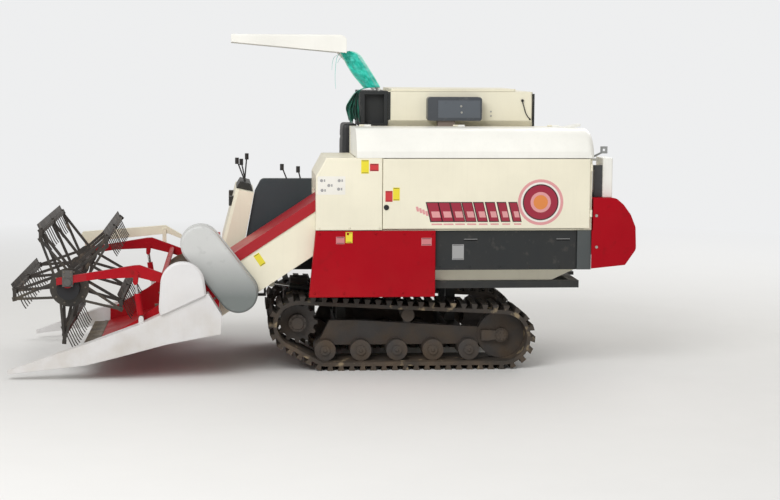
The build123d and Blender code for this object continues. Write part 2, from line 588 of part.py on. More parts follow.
# Canopy on two sloping posts, and the cloth tied to one of them
canopy_outline = outline((776, 2735), (776, 2804), (-180, 2804), (-222, 2770), (-222, 2647))
canopy_y = (-950, 0)
canopy = side_shape(canopy_outline, canopy_y)
canopy = fillet(canopy.edges().filter_by(lambda e: e.length > 80 and (e @ 0.5).Z > 2760), 14)
canopy_space = outline((766, 2700), (766, 2792), (-176, 2792), (-212, 2764), (-212, 2600))
canopy -= side_shape(canopy_space, (canopy_y[0] + 10, canopy_y[1] - 10))
for y in (-140, -700):
    canopy += block((-213, 700), (y, y + 40), (2760, 2793))
save("canopy", canopy)
posts = Part()
for y in (-120, -680):
    posts += rod((POST_TOP[0], y, POST_TOP[1] + 100), (POST_TOP[0], y, POST_TOP[1]), 20)
    posts += rod((POST_TOP[0], y, POST_TOP[1]), (POST_FOOT[0], y, POST_FOOT[1]), 20)
    posts += Pos(POST_TOP[0], y, POST_TOP[1]) * Sphere(20)
posts = posts - canopy - intake
save("canopy_posts", posts)
cloth_front = ((-367, 2335), (-266, 2482), (-172, 2646))
cloth_back = ((-211, 2690), (-211, 2645), (-300, 2668), (-397, 2540), (-498, 2345))
net = ((-375, 2346), (-346.7, 2322), (-346.7, 2045), (-258, 2055), (-214, 2169), (-300, 2300), (-325, 2402))
cloth = side_shape(outline(*cloth_front, *cloth_back) + outline(*net), (-150, -60))
save("shade_cloth", cloth - posts - canopy)


# Feeder house
def feeder_line(x, shift):
    """Height of a line parallel to the feeder house's slope, shifted square to it from the pivot."""
    return FEEDER_PIVOT[1] + shift / cos(FEEDER_ANGLE) - (x - FEEDER_PIVOT[0]) * tan(FEEDER_ANGLE)


def feeder_strip(x, low, high):
    """The part of the feeder house's side between two such lines."""
    near, far = x
    top = ((near, feeder_line(near, high)), (far, feeder_line(far, high)))
    return outline((near, feeder_line(near, low)), *top, (far, feeder_line(far, low)))


feeder_front = HEADER_BACK - SHEET / 2
feeder_x = (20, feeder_front)
feeder_outline = feeder_strip(feeder_x, -FEEDER_BELOW, FEEDER_ABOVE - 4)
feeder_outline -= outline((0, 1385), (0, 1600), (80, 1600), (62, 1462), (20, 1385))
feeder = side_shape(feeder_outline, FEEDER_Y)
band = feeder_strip((62, feeder_front), FEEDER_ABOVE - FEEDER_BAND, FEEDER_ABOVE)
feeder += side_shape(band, (FEEDER_Y[0] - 8, FEEDER_Y[1] + 8))
duct = feeder_strip((-10, feeder_front + 10), SHEET - FEEDER_BELOW, FEEDER_ABOVE - SHEET)
feeder -= side_shape(duct, (FEEDER_Y[0] + 6, FEEDER_Y[1] - 6))
feeder += cross_rod(FEEDER_PIVOT, (FEEDER_Y[0] - 14.7, FEEDER_Y[0] + 6), FEEDER_BOSS)
feeder += cross_rod(FEEDER_PIVOT, (FEEDER_Y[1] - 6, FEEDER_Y[1] + 9.7), FEEDER_BOSS)
feeder -= cross_rod(FEEDER_PIVOT, (FEEDER_Y[0] - 20, FEEDER_Y[0] + 20), FEEDER_PIN + PIN_GAP)
feeder += clevis(LIFT_EYE, LIFT_Y, 22, LIFT_PIN, (442, 725), 8)
save("feeder_house", feeder)

# Header: rear wall, floor, top beam and side plates
knife_x, knife_z = KNIFE
floor_curve = ((915, 480), (1000, 395), (1130, 350), (1260, 345))
floor_line = ((HEADER_BACK, HEADER_TOP), (HEADER_BACK, 600), *floor_curve, (knife_x, knife_z))
inner_y = (-HEADER_SIDE + 10, HEADER_SIDE - 10)
header = side_shape(folded(floor_line, SHEET), inner_y)
header -= block((800, 1000), (FEEDER_Y[0] + 6, FEEDER_Y[1] - 6), (505, 915))
header -= block((knife_x - 20, knife_x + 50), (-HEADER_SIDE, HEADER_SIDE), (0, 400))
header += block((HEADER_BACK, 949), inner_y, (930, HEADER_TOP))
AUGER_END = HEADER_SIDE - 20
plate_top = ((881, HEADER_TOP), (960, HEADER_TOP), (1110, 820), (1300, 650), (1560, 470), (1900, 280))
plate = outline((881, 395), *plate_top, (1900, 155), (1260, 330))
side_plate = side_shape(plate, (HEADER_SIDE - 10, HEADER_SIDE))
side_plate += cross_rod(AUGER, (AUGER_END + 0.3, HEADER_SIDE - 5), 60)
side_plate += cross_rod(REEL_PIVOT, (HEADER_SIDE - 5, ARM_Y[1] + 15), 20)
save("header_frame", header + side_plate + mirror_y(side_plate))

# Dividers, with the feet of the reel's cylinders
REEL_FOOT = (1508, 505)
REEL_EYE = (1550, 795)
REEL_PIN = 10
REEL_CYLINDER_Y = (ARM_Y[0] + ARM_Y[1]) / 2
ARM_HALF = (ARM_Y[1] - ARM_Y[0]) / 2
divider_top = ((858, 532), (969, 711), (1529, 456), (1950, 300))
divider_foot = ((DIVIDER_TIP, 80), (DIVIDER_TIP, 50), (1950, 130), (1300, 300), (870, 380))
divider_side = outline(*divider_top, *divider_foot)
divider_nose = HEADER_SIDE + DIVIDER_WIDTH / 3
divider_front = ((1700, DIVIDER_SIDE), (DIVIDER_TIP, divider_nose), (DIVIDER_TIP, HEADER_SIDE))
divider_plan = outline((800, HEADER_SIDE), (800, DIVIDER_SIDE), *divider_front)
divider = side_shape(divider_side, (HEADER_SIDE, DIVIDER_SIDE)) & plan_shape(divider_plan, (0, 1000))
divider += clevis(REEL_FOOT, REEL_CYLINDER_Y, ARM_HALF, REEL_PIN, (1508, 455), 8)
save("dividers", divider + mirror_y(divider))

# Cutter bar with its fingers, and the knife that slides on it
cutter = block((knife_x - 20, knife_x + 20), inner_y, (knife_z - 6, knife_z + 6))
knife_level = (knife_z + 6.5, knife_z + 11)
knife = block((knife_x - 15, knife_x + 10), (60 - HEADER_SIDE, HEADER_SIDE - 60), knife_level)
for step in range(FINGERS):
    y = (step - (FINGERS - 1) / 2) * KNIFE_PITCH
    finger_tip = ((knife_x + 110, y - 3), (knife_x + 110, y + 3))
    finger = outline((knife_x + 19, y - 12), *finger_tip, (knife_x + 19, y + 12))
    cutter += plan_shape(finger, (knife_z - 6, knife_z + 6))
    if step:
        blade_y = y - KNIFE_PITCH / 2
        blade_tip = ((knife_x + 75, blade_y - 6), (knife_x + 75, blade_y + 6))
        blade = outline((knife_x + 5, blade_y - 36), *blade_tip, (knife_x + 5, blade_y + 36))
        knife += plan_shape(blade, knife_level)
save("cutter_bar", cutter)
save("knife", knife)

# Auger: flights of both hands carry crop to the fingers in front of the feeder house

def flight(start, end, turns):
    """A helical flight on the auger's tube, from one Y to another."""
    width = AUGER_FLIGHT - AUGER_TUBE
    helix = Helix(abs(end - start) / turns, abs(end - start), AUGER_TUBE - 4, lefthand=end < start)
    section = Plane(helix @ 0, x_dir=(1, 0, 0), z_dir=helix % 0) * Pos(width / 2, 0) * Rectangle(width + 4, 6)
    turn = -90 if end > start else 90
    return Pos(AUGER[0], start, AUGER[1]) * Rot(turn, 0, 0) * sweep(section, path=helix, is_frenet=True)


auger = cross_rod(AUGER, (-AUGER_END, AUGER_END), AUGER_TUBE)
auger += flight(10 - AUGER_END, FEEDER_Y[0], 2.75) + flight(AUGER_END - 10, FEEDER_Y[1], 0.5)
finger_reach = AUGER_FLIGHT - 105
for step in range(8):
    turn = radians(step * 137)
    way = Vector(cos(turn), 0, sin(turn))
    root = Vector(AUGER[0], FEEDER_Y[0] + 60 + step * 65, AUGER[1]) + way * 100
    auger += extrude(Plane(origin=root, z_dir=way) * Rectangle(12, 12), amount=finger_reach)
save("auger", auger)

# Covers on the header's left side
cover_limit = outline((1600, 425), (1529, 456), (969, 711), (858, 532), (858, 200), (1600, 200))
dome_y = (DIVIDER_SIDE - 52, DIVIDER_SIDE + 20)
dome = side_shape(hull_of((1172, 792, 176), (1166, 600, 196)) - cover_limit, dome_y)
save("dome_cover", chamfer([e for e in outer_edges(dome, dome_y[1]) if (e @ 0.5).Z > 730], 16))
drive_top, drive_foot, drive_radius = (1030, 1085), (725, 690), 158
cover_in, cover_out = FEEDER_Y[1] + 22, HEADER_SIDE + 42
drive_shape = hull_of((*drive_top, drive_radius), (*drive_foot, drive_radius))
drive_rim = hull_of((*drive_top, drive_radius + 8), (*drive_foot, drive_radius + 8))
drive_cover = side_shape(drive_shape, (cover_in + 8, cover_out))
drive_cover = chamfer(outer_edges(drive_cover, cover_out), 14)
drive_cover += side_shape(drive_rim, (cover_in, cover_in + 12))
drive_cover -= block((864, 1400), (cover_in - 10, HEADER_SIDE), (300, HEADER_TOP + 8))
drive_cover -= side_shape(cover_limit, (HEADER_SIDE - 5, dome_y[1]))
save("drive_cover", drive_cover)

# Reel arms, with the hub that the ring turns on and the pins of the cylinders
arm_top = ((1085, 771), (1335, 868), (1514, 934), (1560, 932), (2180, 832))
arm_low = ((2180, 776), (1840, 824), (1530, 836), (1340, 788), (1100, 702))
arm_outline = outline(*arm_top, *arm_low) + Pos(*REEL_PIVOT) * Circle(36)
arm_outline -= Pos(*REEL_PIVOT) * Circle(20 + PIN_GAP)
arm_outline += Pos(*REEL) * Circle(48)
arm_outline -= Pos(*REEL) * Circle(25 + PIN_GAP)
arm = side_shape(arm_outline, ARM_Y)
arm += clevis(REEL_EYE, REEL_CYLINDER_Y, ARM_HALF, REEL_PIN, (1545, 862), 8)
ring_centre = (REEL[0], REEL[1] - RING_DROP)
RING_Y = (BAR_HALF + 18, BAR_HALF + 30)
hub = side_shape(Pos(*ring_centre) * Circle(90) - Pos(*REEL) * Circle(27), (RING_Y[0], ARM_Y[0]))
tie = cross_rod((1330, 832), (-ARM_Y[0] - 5, ARM_Y[0] + 5), 22)
bracket = block((REEL[0] - 42, REEL[0] + 42), (ARM_Y[1], ARM_Y[1] + 8), (REEL[1] - 36, REEL[1] + 96))
bracket += cross_rod(REEL, (ARM_Y[1], ARM_Y[1] + 24), 30)
save("reel_arms", arm + mirror_y(arm) + tie + hub + bracket)
case_y = (-ARM_Y[1] - 70, -ARM_Y[1] - 14)
tab_y = (-ARM_Y[1] - 15, -ARM_Y[1])
case_top = ((1222, 945), (1388, 1043), (2166, 985))
chain_case = outline(*case_top, (2158, 905), (1867, 918), (1365, 968), (1250, 921))
chain_case = rounded(chain_case, 24, (1222, 945), (2166, 985), (2158, 905))
reel_cover = side_shape(chain_case + link((2105, 935), REEL, 76), case_y)
reel_cover += cross_rod(REEL, tab_y, 38, 27) + side_shape(link((1400, 1000), (1400, 850), 36), tab_y)
save("reel_drive_cover", reel_cover)


def bar_place(index, centre):
    """Where the pivot of a tine bar, or of its crank on the ring, lies round the centre."""
    turn = radians(REEL_PHASE + 360 * index / REEL_BARS)
    return (centre[0] + REEL_RADIUS * cos(turn), centre[1] + REEL_RADIUS * sin(turn))


def star(centre, plate, spread, width, hole):
    """A round plate with a pair of struts that meet at each tine bar."""
    shape = Pos(*centre) * Circle(plate)
    for index in range(REEL_BARS):
        tip = bar_place(index, centre)
        turn = atan2(tip[1] - centre[1], tip[0] - centre[0])
        for side in (-1, 1):
            way = turn + side * spread
            root = (centre[0] + plate * 0.9 * cos(way), centre[1] + plate * 0.9 * sin(way))
            shape += folded((root, tip), width)
        shape += Pos(*tip) * Rot(0, 0, degrees(turn)) * Rectangle(2 * hole + 16, 2 * hole + 16)
    for index in range(REEL_BARS):
        shape -= Pos(*bar_place(index, centre)) * Circle(hole)
    return shape


# Reel: a shaft with three stars, five tine bars that turn in them, and the ring that keeps the bars upright
STAR_Y = (50 - BAR_HALF, 0, BAR_HALF - 50)
JOURNAL = 15
CRANK_PIN = 9
reel = cross_rod(REEL, (5 - ARM_Y[1], ARM_Y[1] - 5), 25)
reel += cross_rod(REEL, (30 - BAR_HALF, BAR_HALF - 30), 42)
reel_star = star(REEL, 85, 0.7, 24, JOURNAL + PIN_GAP)
for y in STAR_Y:
    reel += side_shape(reel_star, (y - 4, y + 4))
save("reel_spider", reel)
ring = star(ring_centre, RING_PLATE, 0.42, 20, CRANK_PIN + PIN_GAP)
ring -= Pos(*ring_centre) * Circle(90 + PIN_GAP)
save("reel_ring", side_shape(ring, RING_Y))

drop = (-sin(TINE_LEAN), -cos(TINE_LEAN))
bar_breaks = [-BAR_HALF]
for y in STAR_Y:
    bar_breaks += [y - 8, y + 8]
bar_breaks.append(BAR_HALF)
BAR_SPANS = list(zip(bar_breaks[::2], bar_breaks[1::2]))
for index in range(REEL_BARS):
    x, z = bar_place(index, REEL)
    bar = Part()
    slat_edge = (x - drop[0] * SLAT_WIDTH, z - drop[1] * SLAT_WIDTH)
    slat = folded(((x - drop[0] * 8, z - drop[1] * 8), slat_edge), 5)
    for span in BAR_SPANS:
        bar += block((x - BAR_SIZE / 2, x + BAR_SIZE / 2), span, (z - BAR_SIZE / 2, z + BAR_SIZE / 2))
        bar += side_shape(slat, span)
    bar += cross_rod((x, z), (-BAR_HALF + 5, BAR_HALF - 5), JOURNAL)
    bar += block((x - 15, x + 15), (BAR_HALF, BAR_HALF + 10), (z - RING_DROP - 15, z + BAR_SIZE / 2))
    bar += cross_rod((x, z - RING_DROP), (BAR_HALF + 5, RING_Y[1] + 4), CRANK_PIN)
    start = (x + drop[0] * 8, z + drop[1] * 8)
    bend = (x + drop[0] * TINE_LENGTH * 0.8, z + drop[1] * TINE_LENGTH * 0.8)
    tip = (bend[0] - TINE_LENGTH * 0.12, bend[1] - TINE_LENGTH * 0.18)
    tine = folded((start, bend, tip), 8)
    for step in range(TINE_COUNT):
        y = (step - (TINE_COUNT - 1) / 2) * TINE_PITCH
        y += 35 if abs(y) < 10 else 0
        bar += side_shape(tine, (y - 4, y + 4))
    save(f"tine_bar_{index + 1}", bar)

# Cylinders that lift the reel
reel_ends = (REEL_FOOT, REEL_EYE, REEL_CYLINDER_Y)
reel_barrel, reel_rod = cylinder(*reel_ends, 26, REEL_PIN, 13, 0.68, REEL_EYE_GAP)
save("reel_barrel_left", reel_barrel)
save("reel_barrel_right", mirror_y(reel_barrel))
save("reel_rod_left", reel_rod)
save("reel_rod_right", mirror_y(reel_rod))
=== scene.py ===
"""Looks of a tracked combine harvester: finishes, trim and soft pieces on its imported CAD.

Metres, in the CAD's frame: X forward, Y to the machine's left, Z up, ground at 0.
"""

import json
from itertools import product
from math import cos, hypot, pi, radians, sin

import bmesh
import bpy
from mathutils import Matrix, Vector, noise


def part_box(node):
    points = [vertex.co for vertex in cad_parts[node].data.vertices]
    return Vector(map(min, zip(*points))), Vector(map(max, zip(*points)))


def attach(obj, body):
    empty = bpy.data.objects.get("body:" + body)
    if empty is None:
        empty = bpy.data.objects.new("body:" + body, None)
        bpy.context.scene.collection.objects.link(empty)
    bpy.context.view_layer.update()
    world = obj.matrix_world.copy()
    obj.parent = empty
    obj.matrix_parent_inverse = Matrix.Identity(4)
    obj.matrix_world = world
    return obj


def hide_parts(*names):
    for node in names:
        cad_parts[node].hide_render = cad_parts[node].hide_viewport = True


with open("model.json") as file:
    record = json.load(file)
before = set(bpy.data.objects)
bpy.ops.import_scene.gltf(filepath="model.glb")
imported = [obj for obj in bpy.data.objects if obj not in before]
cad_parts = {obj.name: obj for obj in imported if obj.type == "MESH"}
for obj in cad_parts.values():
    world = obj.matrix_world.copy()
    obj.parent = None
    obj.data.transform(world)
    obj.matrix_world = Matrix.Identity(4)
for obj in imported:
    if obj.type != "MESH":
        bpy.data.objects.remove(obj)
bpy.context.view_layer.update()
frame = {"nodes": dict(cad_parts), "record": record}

# Camera, found from the photo: focal length in pixels of a frame 780 across
FOCAL_PX = 1718
FRAME_PX = 780
SENSOR = 36
CAMERA_AT = (0.786, 14.95, 2.58)
CAMERA_YAW = radians(5.33)  # to the rear of straight across
CAMERA_PITCH = radians(6.28)  # down
CAMERA_ROLL = radians(0.35)

X, Y, Z = range(3)


def low_end(node, axis):
    """Where a node's box starts along an axis, to a tenth of a millimetre."""
    return round(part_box(node)[0][axis], 4)


def high_end(node, axis):
    """Where a node's box ends along an axis, to a tenth of a millimetre."""
    return round(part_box(node)[1][axis], 4)


def middle(node, axis):
    return (low_end(node, axis) + high_end(node, axis)) / 2


# Left faces that trim lies on. No box ends at the last two, since a part of the node stands out further
SIDE_Y = high_end("side_panel_front", Y)
LOW_PANEL_Y = high_end("lower_panel_dark", Y)
TANK_Y = high_end("grain_tank", Y)
HEAD_Y = high_end("elevator_head", Y)
RING_Y = high_end("reel_ring", Y)
FEEDER_Y = 0.850
HEADER_Y = 1.020

# Lines and centres of the CAD that trim follows
TANK_REAR_X = low_end("grain_tank", X)
TRACK_CENTRE = middle("track_left", Y)
SPROCKET = (middle("sprockets", X), middle("sprockets", Z))
IDLER = (-1.500, 0.270)
ROLLER_STATIONS = (-1.215, -0.910, -0.605, -0.300, 0.0)
ROLLER_Z = 0.160
FEEDER_SLOPE = radians(33.4)
FEEDER_PIVOT = (0.075, 1.365)
FEEDER_BAND_LOW = -0.009  # the red channel's lower edge, square to the slope from the pivot
REEL = (2.090, 0.800)
RING_DROP = 0.060
TINE_BARS = 5

# Colours, linear
CREAM = (0.86, 0.82, 0.66)
WHITE = (0.90, 0.90, 0.85)
COOL_WHITE = (0.72, 0.715, 0.72)
CRIMSON = (0.38, 0.002, 0.010)
DARK = (0.024, 0.027, 0.029)
SLATE = (0.062, 0.070, 0.082)
BLUE_GREY = (0.062, 0.074, 0.078)
SILVER = (0.62, 0.63, 0.62)
# painted shade: the darker grey of the drive cover's lower part
PAINTED_SHADE_GREY = (0.17, 0.19, 0.185)
STEEL = (0.13, 0.115, 0.10)
IRON = (0.055, 0.055, 0.057)
CHROME = (0.62, 0.62, 0.63)
BLACK = (0.012, 0.012, 0.013)
BROWN_RUBBER = (0.05, 0.035, 0.028)
BACKGROUND = (0.855, 0.86, 0.865)
DAYLIGHT = (1.0, 0.98, 0.95)
TURQUOISE = (0.012, 0.54, 0.42)
# painted shade for the cloth's creases
PAINTED_CREASE_SHADE = (0.01, 0.33, 0.25)
# painted highlights on the cloth
PAINTED_HIGHLIGHT_TURQUOISE = (0.11, 0.78, 0.66)
NET_GREEN = (0.002, 0.085, 0.055)
THREAD_GREEN = (0.01, 0.30, 0.20)
HEM_GREEN = (0.30, 0.78, 0.62)
DUST = (0.36, 0.28, 0.17)
MUD = (0.10, 0.07, 0.045)
RUST = (0.10, 0.05, 0.03)


# Materials
class Surface:
    """A Principled material built up from noise in the piece's own coordinates."""

    def __init__(self, name, colour, roughness, metallic=0.0, uneven=(0.93, 1.05)):
        self.material = bpy.data.materials.new(name)
        self.material.use_nodes = True
        self.tree = self.material.node_tree
        self.shader = self.tree.nodes["Principled BSDF"]
        self.shader.inputs["Metallic"].default_value = metallic
        self.place = self.add("ShaderNodeTexCoord").outputs["Object"]
        self.colour = self.tint(colour, *uneven, 1.7)
        self.roughness = self.spread(self.noise(6, 4), roughness - 0.06, roughness + 0.10)
        self.height = None

    def add(self, kind, **settings):
        node = self.tree.nodes.new(kind)
        for key, value in settings.items():
            setattr(node, key, value)
        return node

    def wire(self, value, socket):
        if hasattr(value, "is_output"):
            self.tree.links.new(value, socket)
        else:
            socket.default_value = value

    def noise(self, scale, detail, stretch=None):
        """Noise of a mean of 0.5, finer along an axis where its stretch is larger."""
        node = self.add("ShaderNodeTexNoise")
        node.inputs["Scale"].default_value = scale
        node.inputs["Detail"].default_value = detail
        place = self.place
        if stretch:
            mapping = self.add("ShaderNodeMapping")
            mapping.inputs["Scale"].default_value = stretch
            self.wire(place, mapping.inputs["Vector"])
            place = mapping.outputs["Vector"]
        self.wire(place, node.inputs["Vector"])
        return node.outputs["Fac"]

    def spread(self, value, low, high, start=0.3, end=0.7):
        """Maps start to end of the value onto low to high, and holds it there outside."""
        node = self.add("ShaderNodeMapRange")
        self.wire(value, node.inputs["Value"])
        for key, number in (("From Min", start), ("From Max", end), ("To Min", low), ("To Max", high)):
            node.inputs[key].default_value = number
        return node.outputs["Result"]

    def maths(self, operation, a, b):
        node = self.add("ShaderNodeMath", operation=operation)
        self.wire(a, node.inputs[0])
        self.wire(b, node.inputs[1])
        return node.outputs["Value"]

    def mix(self, share, a, b):
        node = self.add("ShaderNodeMix", data_type="RGBA")
        self.wire(share, node.inputs["Factor"])
        for value, socket in ((a, node.inputs[6]), (b, node.inputs[7])):
            self.wire(value if hasattr(value, "is_output") else (*value, 1.0), socket)
        return node.outputs[2]

    def tint(self, colour, low, high, scale):
        """The colour, a little darker and lighter from place to place."""
        dark, light = tuple(c * low for c in colour), tuple(min(1.0, c * high) for c in colour)
        return self.mix(self.spread(self.noise(scale, 5), 0.0, 1.0), dark, light)

    def axis(self, name):
        node = self.add("ShaderNodeSeparateXYZ")
        self.wire(self.place, node.inputs["Vector"])
        return node.outputs[name]

    def over(self, share, colour, roughness=None):
        """Lays another colour over the surface where share is 1."""
        self.colour = self.mix(share, self.colour, colour)
        if roughness is not None:
            rise = self.maths("MULTIPLY", share, roughness)
            self.roughness = self.maths("MAXIMUM", self.roughness, rise)
        return self

    def dusty(self, amount, top=1.5, colour=DUST):
        """Field dust in patches, thicker towards the ground."""
        low = self.spread(self.axis("Z"), amount, amount * 0.12, 0.2, top)
        patches = self.spread(self.noise(5, 8), 0.25, 1.0, 0.38, 0.66)
        return self.over(self.maths("MULTIPLY", low, patches), colour, 0.85)

    def worn(self, amount, colour, scale=14):
        """Small rubbed or rusty patches."""
        patches = self.spread(self.noise(scale, 9), 0.0, amount, 0.60, 0.68)
        return self.over(patches, colour, 0.7)

    def streaked(self, amount, colour):
        """Faint marks that run down the sides."""
        marks = self.spread(self.noise(7, 4, (6, 6, 0.35)), 0.0, amount, 0.52, 0.75)
        return self.over(marks, colour)

    def grained(self, scale, depth, strength=0.35):
        """Fine relief of the given depth."""
        self.height = (self.noise(scale, 3), depth, strength)
        return self

    def done(self, bevel=0.0):
        """Joins colour, roughness, relief and softened edges to the shader."""
        normal = None
        if bevel:
            node = self.add("ShaderNodeBevel", samples=4)
            node.inputs["Radius"].default_value = bevel
            normal = node.outputs["Normal"]
        if self.height:
            node = self.add("ShaderNodeBump")
            node.inputs["Strength"].default_value = self.height[2]
            node.inputs["Distance"].default_value = self.height[1]
            self.wire(self.height[0], node.inputs["Height"])
            if normal:
                self.wire(normal, node.inputs["Normal"])
            normal = node.outputs["Normal"]
        if normal:
            self.wire(normal, self.shader.inputs["Normal"])
        self.wire(self.colour, self.shader.inputs["Base Color"])
        self.wire(self.roughness, self.shader.inputs["Roughness"])
        return self.material


def paint(name, colour, dust=0.2, roughness=0.34, gloss=0.5):
    """Sprayed sheet metal, a little wavy and faded."""
    surface = Surface(name, colour, roughness)
    surface.shader.inputs["Specular IOR Level"].default_value = gloss
    surface.streaked(0.10, tuple(c * 0.78 for c in colour))
    surface.dusty(dust, 0.9)
    return surface.grained(5, 0.004, 0.25)


EDGE = 0.0004  # half the width over which one paint turns into another


def above(surface, value, at):
    """A mask that is 1 where the value is over a limit."""
    return surface.spread(value, 0.0, 1.0, at - EDGE, at + EDGE)


def band(surface, axis, low, high):
    """A mask that is 1 between two values along an axis."""
    value = surface.axis(axis)
    fall = surface.spread(value, 1.0, 0.0, high - EDGE, high + EDGE)
    return surface.maths("MULTIPLY", above(surface, value, low), fall)


def arm_paint():
    """Crimson arms, with a dark hub inside them and a bare bracket over the left arm's front end."""
    front_x, hub_y, bracket_y = (1.94, 2.5), (0.5, 1.0712), (1.1053, 1.3)
    surface = paint("arm_paint", CRIMSON, 0.1, 0.36, 0.15).worn(0.3, (0.10, 0.02, 0.015))
    front = band(surface, "X", *front_x)
    hub = surface.maths("MULTIPLY", front, band(surface, "Y", *hub_y))
    surface.over(hub, (0.028, 0.028, 0.030), 0.5)
    bracket = surface.maths("MULTIPLY", front, band(surface, "Y", *bracket_y))
    return surface.over(bracket, (0.11, 0.105, 0.10), 0.55)


def cover_paint():
    """Silver paint that turns to a darker grey lower down: painted shade below, and a painted sky reflection
    in the silver above.
    """
    shade_below, sky_reflection_above = 0.66, 1.04
    surface = Surface("cover_paint", SILVER, 0.36)
    # painted shade: a darker grey towards the bottom, with the silver higher up as a painted sky reflection
    surface.over(surface.spread(surface.axis("Z"), 1.0, 0.0, shade_below, sky_reflection_above), PAINTED_SHADE_GREY)
    return surface.worn(0.2, (0.30, 0.31, 0.30)).grained(60, 0.001)


def head_paint():
    """Slate grey box on a dull brownish neck."""
    neck_z, neck_brown = (1.9, 2.0659), (0.20, 0.16, 0.14)
    surface = paint("head_paint", SLATE, 0.1, 0.42, 0.4).worn(0.35, (0.15, 0.16, 0.16), 18)
    return surface.over(band(surface, "Z", *neck_z), neck_brown)


def rear_box_paint():
    """A white box behind a dark post, under a grey bracket."""
    post_x, post_z, bracket_z = (-2.3105, -2.1), (1.3, 1.7245), (1.787, 2.0)
    surface = paint("rear_box_paint", WHITE, 0.1)
    post = surface.maths("MULTIPLY", band(surface, "X", *post_x), band(surface, "Z", *post_z))
    surface.over(post, (0.055, 0.058, 0.062))
    return surface.over(band(surface, "Z", *bracket_z), (0.30, 0.31, 0.31))


def feeder_paint():
    """Cream walls under a crimson channel along the feeder house's top."""
    surface = paint("feeder_paint", CREAM, 0.35)
    along = surface.maths("MULTIPLY", surface.axis("X"), sin(FEEDER_SLOPE))
    up = surface.maths("MULTIPLY", surface.axis("Z"), cos(FEEDER_SLOPE))
    height = surface.maths("ADD", along, up)
    edge = FEEDER_PIVOT[0] * sin(FEEDER_SLOPE) + FEEDER_PIVOT[1] * cos(FEEDER_SLOPE) + FEEDER_BAND_LOW
    return surface.over(above(surface, height, edge), CRIMSON)


def reel_paint():
    """Dark brown, rubbed to dry mud and old steel."""
    surface = Surface("reel_dark", (0.045, 0.038, 0.033), 0.55, 0.2)
    return surface.worn(0.8, (0.16, 0.12, 0.085), 8).grained(110, 0.002)


def engine_cover_paint():
    """Cream up to the seat's deck, and nearly black over it."""
    deck = 1.4005
    surface = paint("engine_cover_paint", CREAM)
    return surface.over(above(surface, surface.axis("Z"), deck), (0.03, 0.03, 0.032))


def woven():
    """Shiny turquoise cloth with painted shade in its creases and painted highlight streaks, whose lower end
    is a dark net, with paler hems where the mesh says so.
    """
    net_below, cloth_above, threads_below = 2.29, 2.335, 2.40
    surface = Surface("net_cloth", TURQUOISE, 0.5)
    # painted shade: darker patches that stand for the shade in the creases
    surface.over(surface.spread(surface.noise(11, 3, (1.6, 1.6, 1.0)), 0.0, 0.85, 0.46, 0.66), PAINTED_CREASE_SHADE)
    # painted highlights: paler streaks that stand for shine
    surface.over(surface.spread(surface.noise(13, 3, (0.8, 0.8, 1.8)), 0.0, 0.6, 0.53, 0.66), PAINTED_HIGHLIGHT_TURQUOISE)
    surface.over(surface.spread(surface.axis("Z"), 1.0, 0.0, net_below, cloth_above), NET_GREEN)
    threads = surface.spread(surface.noise(60, 3, (1.5, 1.5, 0.12)), 0.0, 0.6, 0.55, 0.62)
    lower = surface.spread(surface.axis("Z"), 1.0, 0.12, net_below, threads_below)
    surface.over(surface.maths("MULTIPLY", threads, lower), THREAD_GREEN)
    surface.over(surface.add("ShaderNodeAttribute", attribute_name="hem").outputs["Fac"], HEM_GREEN)
    surface.grained(420, 0.0012, 0.6)
    surface.shader.inputs["Sheen Weight"].default_value = 0.15
    return surface.done()


def bare_steel():
    surface = Surface("bare_steel", STEEL, 0.5, 0.4)
    return surface.worn(0.9, RUST, 7).dusty(0.4).grained(110, 0.002).done(0.002)


def cast_iron():
    surface = Surface("cast_iron", IRON, 0.6, 0.35)
    return surface.dusty(0.9, 0.9, MUD).grained(140, 0.003, 0.5).done(0.004)


def seat_vinyl():
    surface = Surface("seat_vinyl", (0.030, 0.031, 0.034), 0.45)
    return surface.worn(0.5, (0.07, 0.065, 0.06), 20).grained(260, 0.0012, 0.5).done()


def track_rubber():
    surface = Surface("track_rubber", (0.022, 0.021, 0.020), 0.72)
    surface.dusty(0.95, 0.75, MUD)
    surface.worn(0.7, DUST, 9)
    return surface.grained(60, 0.004, 0.5).done(0.004)


FINISHES = {
    "cream_paint": paint("cream_paint", CREAM).done(0.004),
    "white_paint": paint("white_paint", WHITE, 0.25).done(0.004),
    "red_paint": paint("red_paint", CRIMSON, 0.06, 0.38, 0.10).worn(0.15, (0.12, 0.01, 0.01)).done(0.004),
    "dark_paint": paint("dark_paint", DARK, 0.12, 0.5, 0.3).worn(0.2, STEEL).done(0.004),
    "blue_grey_paint": paint("blue_grey_paint", BLUE_GREY, 0.2).done(0.004),
    "grey_metal": Surface("grey_metal", SILVER, 0.38, 0.5).dusty(0.2).grained(90, 0.0015).done(0.004),
    "bare_steel": bare_steel(),
    "chrome_rod": Surface("chrome_rod", CHROME, 0.14, 1.0).dusty(0.2).grained(200, 0.0002, 0.1).done(),
    "track_rubber": track_rubber(),
    "soft_rubber": Surface("soft_rubber", BROWN_RUBBER, 0.7).dusty(0.5).grained(150, 0.002).done(0.002),
    "cast_iron": cast_iron(),
    "black_plastic": Surface("black_plastic", BLACK, 0.45).dusty(0.2).grained(300, 0.0008).done(0.002),
    "seat_vinyl": seat_vinyl(),
    "net_cloth": woven(),
}

